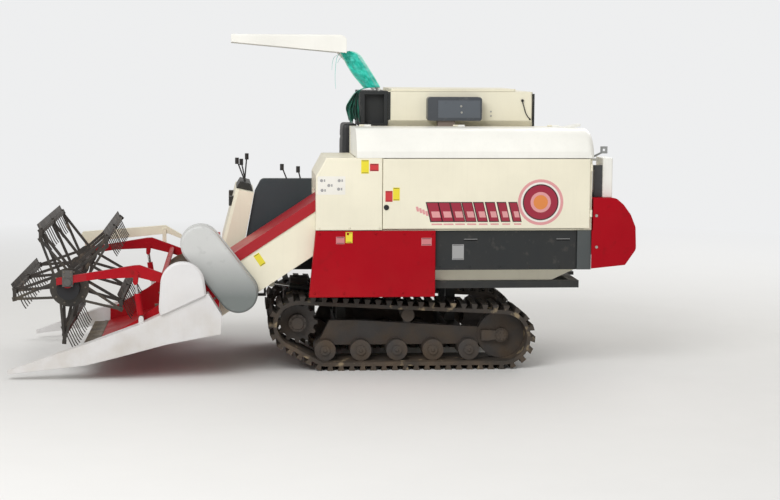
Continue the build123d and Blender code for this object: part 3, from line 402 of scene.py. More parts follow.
# Finishes of single nodes, in place of their slot's
OWN_FINISH = {
    "feeder_house": feeder_paint().done(0.004),
    "engine_cover": engine_cover_paint().done(0.004),
    "reel_arms": arm_paint().done(0.004),
    "drive_cover": cover_paint().done(0.004),
    "side_console": paint("console_paint", (0.038, 0.049, 0.056), 0.12, 0.42, 0.35).done(0.004),
    "dome_cover": paint("dome_paint", COOL_WHITE, 0.25).done(0.004),
    "dividers": paint("divider_paint", COOL_WHITE, 0.35).done(0.004),
    "elevator_head": head_paint().done(0.004),
    "rear_box": rear_box_paint().done(0.004),
    "reel_spider": reel_paint().done(0.002),
}
for number in range(1, TINE_BARS + 1):
    OWN_FINISH[f"tine_bar_{number}"] = OWN_FINISH["reel_spider"]
for row in frame["record"]["subparts"]:
    shown = frame["nodes"][row["node"]]
    shown.data.materials.clear()
    shown.data.materials.append(OWN_FINISH.get(row["node"], FINISHES[row["material_slot"]]))


def film(name, colour, dust=0.2, roughness=0.4):
    """Smooth printed film, as on labels."""
    return Surface(name, colour, roughness).dusty(dust).grained(300, 0.0002).done()


LABEL_YELLOW = film("label_yellow", (0.82, 0.70, 0.03))
LABEL_RED = film("label_red", (0.60, 0.03, 0.04))
LABEL_PINK = film("label_pink", (0.62, 0.20, 0.22))
# also the painted highlights over the lower panel's slots
PALE_LABEL_AND_HIGHLIGHT = film("pale_label_and_highlight", (0.36, 0.37, 0.38), 0.3)
STRIPE_RED = film("stripe_red", (0.33, 0.01, 0.04))
STRIPE_PINK = film("stripe_pink", (0.74, 0.33, 0.34))
STRIPE_DARK = film("stripe_dark", (0.05, 0.012, 0.018))
LABEL_ORANGE = film("label_orange", (0.75, 0.25, 0.06))
SHEET_PALE = film("mark_sheet", (0.84, 0.82, 0.76), 0.1, 0.35)
MARK_GREY = film("mark_grey", (0.34, 0.34, 0.34), 0.1)
HEAD_FACE = Surface("head_face", (0.10, 0.115, 0.135), 0.35).worn(0.2, SLATE).grained(90, 0.0008).done()
ZINC = Surface("zinc_plate", (0.50, 0.49, 0.45), 0.35, 0.9).worn(0.5, STEEL, 30).grained(200, 0.0006).done()
LAMP_GLASS = Surface("lamp_glass", (0.75, 0.77, 0.78), 0.12).grained(40, 0.001).done()
# also the painted shadows in the lower panel's slots
DARK_TRIM_AND_SHADE = Surface("dark_trim_and_shade", (0.015, 0.015, 0.016), 0.7).grained(200, 0.0008).done()
SCREEN_MESH = Surface("screen_mesh", (0.03, 0.03, 0.032), 0.5, 0.5).grained(700, 0.002, 1.0).done()


# Mesh building
LEFT, RIGHT = (0, 1, 0), (0, -1, 0)
WASHER_RADIUS, WASHER_HEIGHT, HEAD_HEIGHT = 1.35, 0.22, 0.85  # as shares of a bolt head's radius
TURN_PER_METRE = 40  # so that no two heads stand alike


class Mesh:
    """Collects prisms and rounds into one piece."""

    def __init__(self):
        self.points, self.faces = [], []

    def prism(self, outline, start, end, place):
        """A polygon carried from start to end; place turns (u, v, depth) into a point."""
        base, count = len(self.points), len(outline)
        for depth in (start, end):
            self.points += [place(u, v, depth) for u, v in outline]
        self.faces.append([base + i for i in range(count)][::-1])
        self.faces.append([base + count + i for i in range(count)])
        for i in range(count):
            j = (i + 1) % count
            self.faces.append([base + i, base + j, base + count + j, base + count + i])

    def side(self, outline, start, end):
        """An outline in X and Z, carried from one Y to another."""
        self.prism(outline, start, end, lambda u, v, d: (u, d, v))

    def top(self, outline, start, end):
        """An outline in X and Y, carried from one Z to another."""
        self.prism(outline, start, end, lambda u, v, d: (u, v, d))

    def box(self, x, y, z):
        self.top([(x[0], y[0]), (x[1], y[0]), (x[1], y[1]), (x[0], y[1])], *z)

    def round(self, centre, direction, radius, length, sides, turn=0.0):
        """A prism with regular sides, standing on its centre."""
        way = Vector(direction).normalized()
        across = way.orthogonal().normalized()
        up = way.cross(across)
        ring = circle((0, 0), radius, sides, turn)
        self.prism(ring, 0, length, lambda u, v, d: tuple(Vector(centre) + across * u + up * v + way * d))

    def bolt(self, centre, direction, size):
        """A washer with a hexagon head."""
        self.round(centre, direction, size * WASHER_RADIUS, size * WASHER_HEIGHT, 16)
        self.round(centre, direction, size, size * HEAD_HEIGHT, 6, hypot(*centre[:2]) * TURN_PER_METRE)

    def make(self, name, material, body, smooth=None):
        """A piece that rides a body, shaded smooth up to an angle in degrees."""
        data = bpy.data.meshes.new(name)
        data.from_pydata(self.points, [], self.faces)
        data.validate()
        piece = bpy.data.objects.new(name, data)
        bpy.context.scene.collection.objects.link(piece)
        data.materials.append(material)
        fix_normals(data)
        if smooth:
            data.shade_smooth()
            data.set_sharp_from_angle(angle=radians(smooth))
        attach(piece, body)
        return piece


def fix_normals(data):
    work = bmesh.new()
    work.from_mesh(data)
    bmesh.ops.recalc_face_normals(work, faces=work.faces)
    work.to_mesh(data)
    work.free()


def circle(centre, radius, sides=48, turn=0.0):
    angles = [turn + 2 * pi * i / sides for i in range(sides)]
    return [(centre[0] + radius * cos(angle), centre[1] + radius * sin(angle)) for angle in angles]


# Labels, all blank
FILM = 0.0004  # thickness of a printed layer
LABEL_SHEET = 0.0006
LABEL_MARGIN = 0.005
LABEL_LINE = 0.004
# X and Z of the middle, width, height, material, face, slope and body
LABELS = (
    (-0.311, 1.718, 0.064, 0.112, LABEL_YELLOW, SIDE_Y, 0, "chassis"),
    (-0.387, 1.713, 0.072, 0.061, LABEL_RED, SIDE_Y, 0, "chassis"),
    (-0.509, 1.475, 0.059, 0.090, LABEL_RED, SIDE_Y, 0, "side_door"),
    (-0.570, 1.494, 0.056, 0.108, LABEL_YELLOW, SIDE_Y, 0, "side_door"),
    (-0.110, 1.113, 0.070, 0.060, LABEL_PINK, SIDE_Y, 0, "chassis"),
    (-0.182, 1.137, 0.056, 0.090, LABEL_YELLOW, SIDE_Y, 0, "chassis"),
    (-0.822, 1.100, 0.085, 0.064, LABEL_PINK, SIDE_Y, 0, "chassis"),
    (-1.090, 1.009, 0.097, 0.128, PALE_LABEL_AND_HIGHLIGHT, LOW_PANEL_Y, 0, "chassis"),
    (0.549, 0.946, 0.053, 0.107, LABEL_YELLOW, FEEDER_Y, FEEDER_SLOPE, "header"),
)


def turned(x, z, slope, low, high):
    """A rectangle round a point, sloping down to the front."""
    corners = ((low[0], low[1]), (high[0], low[1]), (high[0], high[1]), (low[0], high[1]))
    return [(x + u * cos(slope) + v * sin(slope), z - u * sin(slope) + v * cos(slope)) for u, v in corners]


def add_labels():
    for number, (x, z, width, height, finish, face, slope, body) in enumerate(LABELS, 1):
        label, border = Mesh(), Mesh()
        low, high = (-width / 2, -height / 2), (width / 2, height / 2)
        label.side(turned(x, z, slope, low, high), face, face + LABEL_SHEET)
        ends = (low[0] + LABEL_MARGIN, high[0] - LABEL_MARGIN)
        for line in (low[1] + LABEL_MARGIN, high[1] - LABEL_MARGIN - LABEL_LINE):
            strip = turned(x, z, slope, (ends[0], line), (ends[1], line + LABEL_LINE))
            border.side(strip, face + LABEL_SHEET, face + LABEL_SHEET + FILM)
        label.make(f"label_{number}", finish, body)
        border.make(f"label_{number}_border", DARK_TRIM_AND_SHADE, body)


# A pale sheet on the front panel, with plain grey dots and ticks
SHEET_X, SHEET_Z = (-0.150, 0.078), (1.490, 1.640)
DOTS = ((0.045, 1.605), (-0.015, 1.565), (0.040, 1.525), (-0.095, 1.535), (-0.100, 1.605))
DOT_RADIUS = 0.013


def add_mark_sheet():
    sheet, marks = Mesh(), Mesh()
    sheet.box(SHEET_X, (SIDE_Y, SIDE_Y + FILM), SHEET_Z)
    layer = (SIDE_Y + FILM, SIDE_Y + 2 * FILM)
    for x, z in DOTS:
        marks.side(circle((x, z), DOT_RADIUS, 20), *layer)
        marks.box((x - 0.030, x - 0.018), layer, (z - 0.010, z + 0.010))
    sheet.make("mark_sheet", SHEET_PALE, "chassis")
    marks.make("mark_sheet_marks", MARK_GREY, "chassis")


# Plain decoration on the door: slanted bars and a ringed disc
BAR_COUNT = 8
BAR_START = (-0.860, 1.270)
BAR_PITCH = 0.098
BAR_WIDTH, BAR_NARROWING = 0.088, 0.004
BAR_HEIGHT = 0.150
BAR_LEAN = 0.036
BAR_KEY = 0.008  # the dark edge round a bar
PATCH = (0.050, 0.012)  # height and lean of the paler patch in a bar
PATCH_INSET, PATCH_RISE = 0.010, 0.030
DASH = (0.012, 0.003)  # height and lean of the short line under a bar
DASH_SHIFT, DASH_DROP = 0.005, 0.032
FLECK = (0.020, 0.040, 0.010)  # width, height and lean of the small marks ahead of the bars
FLECK_COUNT = 4
FLECK_START = (-0.740, 1.350)
FLECK_PITCH, FLECK_DROP = 0.026, 0.012
ROUNDEL = (-1.770, 1.425)
ROUNDEL_RINGS = (
    (0.190, STRIPE_PINK), (0.166, SHEET_PALE), (0.150, STRIPE_DARK),
    (0.140, STRIPE_RED), (0.085, STRIPE_PINK), (0.060, LABEL_ORANGE),
)


def slanted(x, z, width, height, lean):
    """A parallelogram whose top leans forward."""
    return [(x, z), (x - width, z), (x - width + lean, z + height), (x + lean, z + height)]


def add_door_bars():
    bars, shades, keys = Mesh(), Mesh(), Mesh()
    layers = [SIDE_Y + FILM * count for count in range(4)]
    for index in range(BAR_COUNT):
        width = BAR_WIDTH - index * BAR_NARROWING
        x, z = BAR_START[0] - index * BAR_PITCH, BAR_START[1]
        key = (width + 2 * BAR_KEY, BAR_HEIGHT + 2 * BAR_KEY, BAR_LEAN + 0.004)
        keys.side(slanted(x + BAR_KEY, z - BAR_KEY, *key), layers[0], layers[1])
        bars.side(slanted(x, z, width, BAR_HEIGHT, BAR_LEAN), layers[1], layers[2])
        patch = slanted(x - PATCH_INSET, z + PATCH_RISE, width - 2 * PATCH_INSET, *PATCH)
        shades.side(patch, layers[2], layers[3])
        shades.side(slanted(x - DASH_SHIFT, z - DASH_DROP, width, *DASH), layers[0], layers[1])
    for index in range(FLECK_COUNT):
        x, z = FLECK_START[0] - index * FLECK_PITCH, FLECK_START[1] - index * FLECK_DROP
        shades.side(slanted(x, z, *FLECK), layers[0], layers[1])
    keys.make("door_bar_keys", STRIPE_DARK, "side_door")
    bars.make("door_bars", STRIPE_RED, "side_door")
    shades.make("door_bar_shades", STRIPE_PINK, "side_door")


def add_roundel():
    for number, (radius, finish) in enumerate(ROUNDEL_RINGS, 1):
        ring = Mesh()
        ring.side(circle(ROUNDEL, radius), SIDE_Y, SIDE_Y + FILM * number)
        ring.make(f"door_roundel_{number}", finish, "side_door")


# Lock on the door's front edge, and the lower panel's two slots, drawn as painted shadows under painted
# highlights
LOCK = (-0.488, 1.384)
LOCK_STEPS = ((0.022, 0.006), (0.012, 0.004))  # radius and height of its rim and core
KEYHOLE = (0.002, 0.007)
SLOTS_X = (-1.195, -1.972)
SLOT_HALF, HIGHLIGHT_HALF = 0.055, 0.056
SLOT_Y = (LOW_PANEL_Y - 0.0115, LOW_PANEL_Y - 0.0105)
SLOT_Z = (1.1025, 1.1135)
# painted highlight: a pale strip along each slot's upper edge
HIGHLIGHT_Z = (1.114, 1.118)


def add_door_lock():
    (x, z), y = LOCK, SIDE_Y
    lock = Mesh()
    for radius, height in LOCK_STEPS:
        lock.round((x, y, z), LEFT, radius, height, 24)
        y += height
    lock.box((x - KEYHOLE[0], x + KEYHOLE[0]), (y, y + 0.001), (z - KEYHOLE[1], z + KEYHOLE[1]))
    lock.make("door_lock", DARK_TRIM_AND_SHADE, "side_door", 40)


def add_panel_slots():
    """Painted shadows in the slots, and pale strips over them as painted highlights on the slots' upper
    edges.
    """
    shadows, highlight_strips = Mesh(), Mesh()
    for x in SLOTS_X:
        shadows.box((x - SLOT_HALF, x + SLOT_HALF), SLOT_Y, SLOT_Z)
        # pale strip: a painted highlight on the slot's upper edge
        highlight_strips.box((x - HIGHLIGHT_HALF, x + HIGHLIGHT_HALF), (LOW_PANEL_Y, LOW_PANEL_Y + 0.002), HIGHLIGHT_Z)
    shadows.make("panel_slot_shadows", DARK_TRIM_AND_SHADE, "chassis")
    highlight_strips.make("panel_slot_highlights", PALE_LABEL_AND_HIGHLIGHT, "chassis")


# Trim of the tank and of the elevator's head, in X and Z
TANK_STRIP_X, TANK_STRIP_Z = (-0.606, -0.584), (2.070, 2.312)
REAR_STRIP_WIDTH = 0.015
REAR_STRIP_Y, REAR_STRIP_Z = (-0.040, -0.004), (1.985, 2.300)
LATCH_ROD = (
    (-1.767, 2.241), (-1.771, 2.215), (-1.779, 2.192), (-1.794, 2.138), (-1.812, 2.105), (-1.836, 2.078),
)
LATCH_ROD_Y = TANK_Y + 0.006
LATCH_ROD_RADIUS = 0.0045
LATCH_KNOB, LATCH_EYE = (0.012, 20), (0.008, 16)  # size and sides of the rod's two ends
HEAD_PLATE = ((-1.010, 2.243), (-1.378, 2.243), (-1.378, 2.092), (-1.010, 2.092))
HEAD_PLATE_Y = (HEAD_Y, HEAD_Y + 0.002)
HEAD_BOLTS = ((-1.210, 2.193), (-1.215, 2.139))
TANK_BOLTS = ((-1.489, 2.144), (-1.490, 2.106))


def add_tank_strips():
    edges = Mesh()
    edges.box(TANK_STRIP_X, (TANK_Y, TANK_Y + 0.0012), TANK_STRIP_Z)
    edges.box((TANK_REAR_X - REAR_STRIP_WIDTH, TANK_REAR_X), REAR_STRIP_Y, REAR_STRIP_Z)
    edges.make("tank_edge_strips", FINISHES["dark_paint"], "chassis")


def add_latch_rod():
    latch = Mesh()
    points = [Vector((x, LATCH_ROD_Y, z)) for x, z in LATCH_ROD]
    for start, end in zip(points, points[1:]):
        latch.round(start, end - start, LATCH_ROD_RADIUS, (end - start).length + 0.001, 10)
    for (x, z), (size, sides) in ((LATCH_ROD[0], LATCH_KNOB), (LATCH_ROD[-1], LATCH_EYE)):
        latch.round((x, TANK_Y, z), LEFT, size, size, sides)
    latch.make("tank_latch_rod", DARK_TRIM_AND_SHADE, "chassis", 50)


def add_head_plate():
    plate, bolts = Mesh(), Mesh()
    plate.side(HEAD_PLATE, *HEAD_PLATE_Y)
    plate.make("elevator_face", HEAD_FACE, "chassis")
    for x, z in HEAD_BOLTS:
        bolts.bolt((x, HEAD_PLATE_Y[1], z), LEFT, 0.007)
    for x, z in TANK_BOLTS:
        bolts.bolt((x, TANK_Y, z), LEFT, 0.006)
    bolts.make("tank_bolts", ZINC, "chassis")


# Bolts
def along(start, end, count):
    return [tuple(Vector(start).lerp(Vector(end), i / (count - 1))) for i in range(count)]


def ring_of(centre, y, radius, count):
    return [(x, y, z) for x, z in circle(centre, radius, count)]


PLATED, OILED = ZINC, FINISHES["bare_steel"]
CREAM_HEAD, RED_HEAD, DARK_HEAD = (FINISHES[slot] for slot in ("cream_paint", "red_paint", "dark_paint"))
RING_CENTRE = (REEL[0], REEL[1] - RING_DROP)
BRACKET_Y = 1.113  # outer face of the bracket on the left reel arm
BRACKET_BOLTS = ((-0.028, 0.045), (-0.028, 0.082), (0.028, 0.045), (0.028, 0.082))
ARM_Y = -1.105  # outer face of the right reel arm
# Body, direction, size, finish and places of each group of bolts
BOLTS = (
    ("chassis", LEFT, 0.007, CREAM_HEAD, along((0.06, SIDE_Y, 1.215), (-0.43, SIDE_Y, 1.215), 3)),
    ("chassis", LEFT, 0.007, RED_HEAD, along((0.06, SIDE_Y, 1.165), (-0.87, SIDE_Y, 1.165), 5)),
    ("chassis", LEFT, 0.007, RED_HEAD, along((0.10, SIDE_Y, 0.675), (-0.87, SIDE_Y, 0.675), 5)),
    ("chassis", LEFT, 0.007, DARK_HEAD, along((-0.94, LOW_PANEL_Y, 0.885), (-1.94, LOW_PANEL_Y, 0.885), 5)),
    ("chassis", LEFT, 0.009, PLATED, [(-2.242, SIDE_Y, 1.312), (-2.247, SIDE_Y, 1.050)]),
    ("reel_arms", LEFT, 0.006, OILED, [(REEL[0] + x, BRACKET_Y, REEL[1] + z) for x, z in BRACKET_BOLTS]),
    ("reel_arms", RIGHT, 0.008, OILED, [(1.35, ARM_Y, 0.83), (1.5, ARM_Y, 0.885), (1.8, ARM_Y, 0.85)]),
    ("reel_ring", LEFT, 0.006, OILED, ring_of(RING_CENTRE, RING_Y, 0.130, 10)),
    ("header", LEFT, 0.008, OILED, along((0.915, HEADER_Y, 0.955), (0.915, HEADER_Y, 0.50), 4)),
    ("header", RIGHT, 0.008, OILED, along((0.915, -HEADER_Y, 0.955), (0.915, -HEADER_Y, 0.50), 4)),
)


def add_bolts():
    for number, (body, direction, size, finish, points) in enumerate(BOLTS, 1):
        bolts = Mesh()
        for point in points:
            bolts.bolt(point, direction, size)
        bolts.make(f"bolts_{number}", finish, body)


# Hub caps of the undercarriage: how far out their faces lie
ROLLER_FACE = TRACK_CENTRE + 0.150
IDLER_FACE = TRACK_CENTRE + 0.095
SPROCKET_FACE = TRACK_CENTRE + 0.090
ROLLER_CAP, IDLER_CAP, SPROCKET_CAP = (0.040, 0.012), (0.045, 0.014), (0.050, 0.012)  # radius and height
IDLER_BOLTS, SPROCKET_BOLTS = (0.030, 6), (0.062, 8)  # radius of their circle, and how many


def add_wheel_caps():
    caps = Mesh()
    for side in (-1, 1):
        out = (0, side, 0)
        face = side * ROLLER_FACE
        for x in ROLLER_STATIONS:
            caps.round((x, face, ROLLER_Z), out, *ROLLER_CAP, 32)
            caps.bolt((x, face + side * ROLLER_CAP[1], ROLLER_Z), out, 0.012)
        face = side * IDLER_FACE
        caps.round((IDLER[0], face, IDLER[1]), out, *IDLER_CAP, 32)
        for point in ring_of(IDLER, face + side * IDLER_CAP[1], *IDLER_BOLTS):
            caps.bolt(point, out, 0.006)
        face = side * SPROCKET_FACE
        caps.round((SPROCKET[0], face, SPROCKET[1]), out, *SPROCKET_CAP, 32)
        for point in ring_of(SPROCKET, face, *SPROCKET_BOLTS):
            caps.bolt(point, out, 0.008)
    caps.make("wheel_caps", FINISHES["cast_iron"], "chassis", 40)


# Lamps on the cowl, and the mesh behind the radiator screen's slats
LAMP_X, LAMPS_Y, LAMP_Z = (0.752, 0.800), (-0.72, -0.06), (1.320, 1.400)
LAMP_HALF, LAMP_RIM, LENS_DEPTH = 0.055, 0.007, 0.003
MESH_X, MESH_Y, MESH_Z = (-0.530, -0.055), (-0.9385, -0.9375), (0.800, 1.365)


def add_cowl_lamps():
    lamps, lenses = Mesh(), Mesh()
    lens_half = LAMP_HALF - LAMP_RIM
    lens_x = (LAMP_X[1], LAMP_X[1] + LENS_DEPTH)
    lens_z = (LAMP_Z[0] + LAMP_RIM, LAMP_Z[1] - LAMP_RIM)
    for y in LAMPS_Y:
        lamps.box(LAMP_X, (y - LAMP_HALF, y + LAMP_HALF), LAMP_Z)
        lenses.box(lens_x, (y - lens_half, y + lens_half), lens_z)
    lamps.make("cowl_lamps", FINISHES["black_plastic"], "chassis")
    lenses.make("cowl_lamp_lenses", LAMP_GLASS, "chassis")


def add_screen_mesh():
    mesh = Mesh()
    mesh.box(MESH_X, MESH_Y, MESH_Z)
    mesh.make("screen_mesh", SCREEN_MESH, "radiator_screen")


# Soft pieces
CUSHION_GRID = 22  # faces along each edge
CUSHION_GAP = 0.002  # inside its node's box
CROWN = 0.014  # how far the face bulges, up to the end of its node's box
SEAM_PLACE, SEAM_WIDTH, SEAM_SHARE = 0.45, 0.06, 0.45  # sewn grooves across the crowned face
UNEVEN = 0.002
SEAT_EDGE, BACK_EDGE = 0.026, 0.030  # radius of the rounded edges


def cushion_point(q, half, edge, axis):
    """The stuffed block's point for a point q of a cube from -1 to 1, measured from the block's middle."""
    inner = Vector([max(-(h - edge), min(h - edge, v * h)) for v, h in zip(q, half)])
    away = Vector([v * h for v, h in zip(q, half)]) - inner
    point = inner + (away.normalized() * edge if away.length > 1e-9 else away)
    if q[axis] > 0.5:
        u, v = (q[i] for i in range(3) if i != axis)
        groove = max(0.0, 1 - abs(abs(v) - SEAM_PLACE) / SEAM_WIDTH)
        rise = CROWN * (1 - u ** 2) * (1 - v ** 2)
        rise -= CROWN * SEAM_SHARE * groove * (1 - u ** 4)
        rise += UNEVEN * noise.noise(Vector(q) * 4)
        point[axis] += rise
    return point


def cushion(name, low, high, edge, axis, node):
    """A block with rounded edges, and a crowned and quilted face on the given axis."""
    centre, half = (low + high) / 2, (high - low) / 2
    made, index, grid = Mesh(), {}, range(CUSHION_GRID)
    for face_axis, sign, i, j in product(range(3), (-1.0, 1.0), grid, grid):
        loop = []
        for di, dj in ((0, 0), (1, 0), (1, 1), (0, 1)):
            q = [0.0, 0.0, 0.0]
            q[face_axis] = sign
            q[(face_axis + 1) % 3] = -1 + 2 * (i + di) / CUSHION_GRID
            q[(face_axis + 2) % 3] = -1 + 2 * (j + dj) / CUSHION_GRID
            key = tuple(round(v, 5) for v in q)
            if key not in index:
                index[key] = len(made.points)
                made.points.append(tuple(centre + cushion_point(q, half, edge, axis)))
            loop.append(index[key])
        made.faces.append(loop)
    piece = made.make(name, FINISHES["seat_vinyl"], "chassis", 60)
    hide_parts(node)


def add_seat():
    low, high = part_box("seat_cushion")
    low += Vector((CUSHION_GAP, CUSHION_GAP, 0.0))
    high -= Vector((CUSHION_GAP, CUSHION_GAP, CROWN))
    cushion("seat_pad", low, high, SEAT_EDGE, Z, "seat_cushion")
    low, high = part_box("seat_backrest")
    low += Vector((0.0, CUSHION_GAP, CUSHION_GAP))
    high -= Vector((CROWN, CUSHION_GAP, CUSHION_GAP))
    cushion("back_pad", low, high, BACK_EDGE, X, "seat_backrest")


def curve(points, t):
    """A point on a polyline, t from 0 to 1 by number of its corners, eased round them."""
    where = t * (len(points) - 1)
    step = min(int(where), len(points) - 2)
    part = where - step
    before, here = points[max(step - 1, 0)], points[step]
    there, after = points[step + 1], points[min(step + 2, len(points) - 1)]
    blend = []
    for a, b, c, d in zip(before, here, there, after):
        bend = 2 * a - 5 * b + 4 * c - d + part * (3 * (b - c) + d - a)
        blend.append(b + 0.5 * part * (c - a + part * bend))
    return blend


# The shade cloth, in X and Z: its edges on the post, the net's edges below, and loose strands
CLOTH_FRONT = ((-0.172, 2.650), (-0.266, 2.482), (-0.380, 2.343))
CLOTH_REAR = ((-0.262, 2.667), (-0.348, 2.632), (-0.436, 2.500), (-0.528, 2.352))
NET_FRONT = ((-0.352, 2.340), (-0.285, 2.285), (-0.222, 2.170), (-0.255, 2.058))
NET_REAR = ((-0.400, 2.345), (-0.342, 2.310), (-0.339, 2.180), (-0.342, 2.055))
STRANDS = (
    ((-0.168, 2.644), (-0.140, 2.600), (-0.128, 2.500), (-0.126, 2.420), (-0.132, 2.335)),
    ((-0.170, 2.640), (-0.120, 2.610), (-0.104, 2.565), (-0.098, 2.500)),
    ((-0.190, 2.622), (-0.160, 2.585), (-0.150, 2.560)),
)
STRAND_STEPS = 24
STRAND_HALF = 0.0022
CLOTH_Y = -0.068
NET_Y = -0.105
WRAP_CURL = 0.060  # how far the cloth's two edges go round the post
FOLD, CREASE = 0.010, 0.022
NET_FOLD, NET_CREASE = 0.020, 0.016
RAGGED = (0.012, 0.055)  # how far the net's lower edge strays in X and in Z
HEM_SHARE = 0.090  # of the cloth's width
# Steps of the cloth's mesh: from front to rear, down the post, and down the net that its front half becomes
ACROSS, DOWN, HANGING = 56, 44, 40
JOINED = ACROSS // 2


def between(front, rear, share):
    return [a + (b - a) * share for a, b in zip(front, rear)]


def wrap_y(s, t):
    """The cloth's place across the machine, folded round the post: s from front to rear, t down."""
    return CLOTH_Y - WRAP_CURL * (2 * s - 1) ** 4 + FOLD * sin(2 * pi * (s * 2.5 + t * 0.7))


def wrapped_point(s, t):
    """A point of the cloth on the post, creased between its two ends."""
    x, z = between(curve(CLOTH_FRONT, t), curve(CLOTH_REAR, t), s)
    crease = noise.noise(Vector((s * 3 + t * 2, t * 10 - s * 3, 2.3)))
    return x, wrap_y(s, t) + CREASE * min(1.0, 6 * (1 - t)) * crease, z


def net_point(s, t, above_it):
    """A point of the net, gathered in folds that start at the cloth's lower edge above it."""
    share = 2 * s
    x, z = between(curve(NET_FRONT, t), curve(NET_REAR, t), share)
    settled = min(1.0, t * 5)
    bunch = share * 4 + 0.7 * noise.noise(Vector((share * 3, t * 1.4, 5.7)))
    fold = NET_FOLD * sin(2 * pi * bunch + t * 2)
    fold += NET_CREASE * noise.noise(Vector((share * 8, t * 3, 7.1)))
    y = wrap_y(s, 1.0) * (1 - settled) + (NET_Y + fold) * settled
    x = above_it[0] * (1 - settled) + x * settled
    z = above_it[2] * (1 - settled) + z * settled
    x += RAGGED[0] * t * noise.noise(Vector((share * 6, t * 5, 9.4)))
    z += RAGGED[1] * t * t * noise.noise(Vector((share * 14, 0.0, 3.3)))
    return x, y, z


def strands():
    """Loose strands that hang from the cloth's front corner, as narrow ribbons."""
    made = Mesh()
    for number, way in enumerate(STRANDS):
        y = -0.072 - 0.010 * number
        first = len(made.points)
        for i in range(STRAND_STEPS + 1):
            x, z = curve(way, i / STRAND_STEPS)
            half = STRAND_HALF * (1 - 0.6 * i / STRAND_STEPS)
            made.points += [(x - half, y, z), (x + half, y - 0.003, z)]
        for a in range(first, first + 2 * STRAND_STEPS, 2):
            made.faces.append([a, a + 1, a + 3, a + 2])
    piece = made.make("shade_strands", FINISHES["net_cloth"], "chassis", 80)
    return piece


def add_cloth():
    """The shade cloth: tied round the canopy's post in creases, its front half hangs on as a net."""
    made, index, hems = Mesh(), {}, []
    for row in range(DOWN + HANGING + 1):
        for column in range((ACROSS if row <= DOWN else JOINED) + 1):
            s = column / ACROSS
            index[row, column] = len(made.points)
            if row <= DOWN:
                made.points.append(wrapped_point(s, row / DOWN))
                hems.append(max(0.0, 1 - min(s, 1 - s) / HEM_SHARE))
            else:
                lower_edge = made.points[index[DOWN, column]]
                made.points.append(net_point(s, (row - DOWN) / HANGING, lower_edge))
                hems.append(0.5 * max(0.0, 1 - 2 * s / HEM_SHARE))
    for row in range(DOWN + HANGING):
        for column in range(ACROSS if row < DOWN else JOINED):
            corners = ((row, column), (row, column + 1), (row + 1, column + 1), (row + 1, column))
            made.faces.append([index[corner] for corner in corners])
    piece = made.make("shade_sheet", FINISHES["net_cloth"], "chassis", 80)
    piece.data.attributes.new("hem", "FLOAT", "POINT").data.foreach_set("value", hems)
    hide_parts("shade_cloth")
    strands()


# Camera, light and floor
def make_camera():
    camera = bpy.data.objects.new("camera", bpy.data.cameras.new("camera"))
    bpy.context.scene.collection.objects.link(camera)
    camera.data.sensor_width = SENSOR
    camera.data.lens = FOCAL_PX / FRAME_PX * SENSOR
    level = Vector((-sin(CAMERA_YAW), -cos(CAMERA_YAW), 0))
    right = Vector((-cos(CAMERA_YAW), sin(CAMERA_YAW), 0))
    upright = Vector((0, 0, 1))
    ahead = level * cos(CAMERA_PITCH) - upright * sin(CAMERA_PITCH)
    up = upright * cos(CAMERA_PITCH) + level * sin(CAMERA_PITCH)
    rolled_right = right * cos(CAMERA_ROLL) + up * sin(CAMERA_ROLL)
    rolled_up = up * cos(CAMERA_ROLL) - right * sin(CAMERA_ROLL)
    turn = Matrix((rolled_right, rolled_up, -ahead)).transposed().to_4x4()
    camera.matrix_world = Matrix.Translation(CAMERA_AT) @ turn
    bpy.context.scene.camera = camera


# Name, place, size and power of the soft lamps
LAMPS = (("key", (5.0, 9.0, 9.0), 7.0, 900), ("fill", (-7.0, -9.0, 8.0), 8.0, 500))
DAYLIGHT_STRENGTH = 0.62
FLOOR_REACH = 90
FLOOR_FADE = (4.5, 13.0)  # distances between which the floor fades into the background


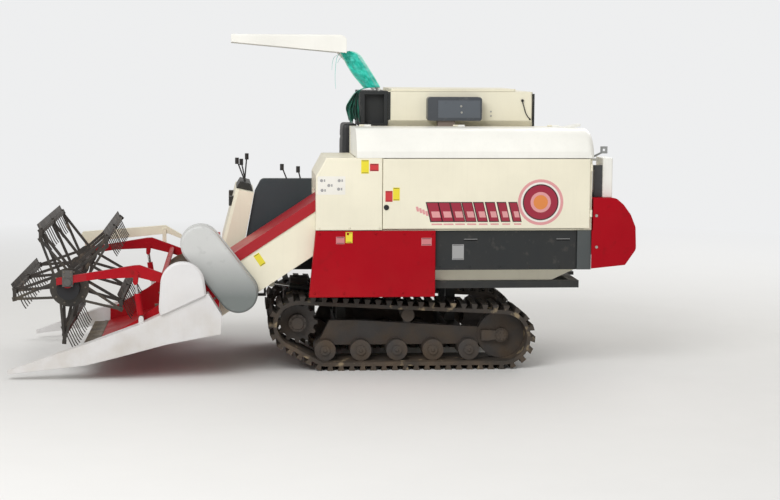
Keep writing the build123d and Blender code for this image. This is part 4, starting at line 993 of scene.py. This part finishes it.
def make_light():
    for name, place, size, power in LAMPS:
        lamp = bpy.data.objects.new(name, bpy.data.lights.new(name, "AREA"))
        bpy.context.scene.collection.objects.link(lamp)
        lamp.data.size = size
        lamp.data.energy = power
        lamp.location = place
        lamp.rotation_euler = (Vector((0, 0, 1)) - Vector(place)).to_track_quat("-Z", "Y").to_euler()
    world = bpy.data.worlds.new("studio")
    bpy.context.scene.world = world
    world.use_nodes = True
    tree = world.node_tree
    shown = tree.nodes["Background"]
    shown.inputs["Color"].default_value = (*BACKGROUND, 1)
    light = tree.nodes.new("ShaderNodeBackground")
    light.inputs["Color"].default_value = (*DAYLIGHT, 1)
    light.inputs["Strength"].default_value = DAYLIGHT_STRENGTH
    path = tree.nodes.new("ShaderNodeLightPath")
    mix = tree.nodes.new("ShaderNodeMixShader")
    tree.links.new(path.outputs["Is Camera Ray"], mix.inputs["Fac"])
    tree.links.new(light.outputs["Background"], mix.inputs[1])
    tree.links.new(shown.outputs["Background"], mix.inputs[2])
    tree.links.new(mix.outputs["Shader"], tree.nodes["World Output"].inputs["Surface"])


def make_floor():
    """A pale floor that fades into the background away from the object."""
    data = bpy.data.meshes.new("floor")
    corners = [(FLOOR_REACH * x, FLOOR_REACH * y, 0) for x, y in ((-1, -1), (1, -1), (1, 1), (-1, 1))]
    data.from_pydata(corners, [], [(0, 1, 2, 3)])
    floor = bpy.data.objects.new("floor", data)
    bpy.context.scene.collection.objects.link(floor)
    surface = Surface("floor", (0.76, 0.76, 0.75), 0.85, uneven=(0.985, 1.0))
    distance = surface.add("ShaderNodeVectorMath", operation="LENGTH")
    surface.wire(surface.place, distance.inputs[0])
    far = surface.spread(distance.outputs["Value"], 0.0, 1.0, *FLOOR_FADE)
    material = surface.done()
    tree = material.node_tree
    glow = surface.add("ShaderNodeEmission")
    glow.inputs["Color"].default_value = (*BACKGROUND, 1)
    path = surface.add("ShaderNodeLightPath")
    share = surface.maths("MULTIPLY", far, path.outputs["Is Camera Ray"])
    mix = surface.add("ShaderNodeMixShader")
    tree.links.new(share, mix.inputs["Fac"])
    tree.links.new(surface.shader.outputs["BSDF"], mix.inputs[1])
    tree.links.new(glow.outputs["Emission"], mix.inputs[2])
    tree.links.new(mix.outputs["Shader"], tree.nodes["Material Output"].inputs["Surface"])
    data.materials.append(material)


add_labels()
add_mark_sheet()
add_door_bars()
add_roundel()
add_door_lock()
add_panel_slots()
add_tank_strips()
add_latch_rod()
add_head_plate()
add_bolts()
add_wheel_caps()
add_cowl_lamps()
add_screen_mesh()
add_seat()
add_cloth()
make_camera()
make_light()
make_floor()
bpy.context.scene.view_settings.view_transform = "Standard"
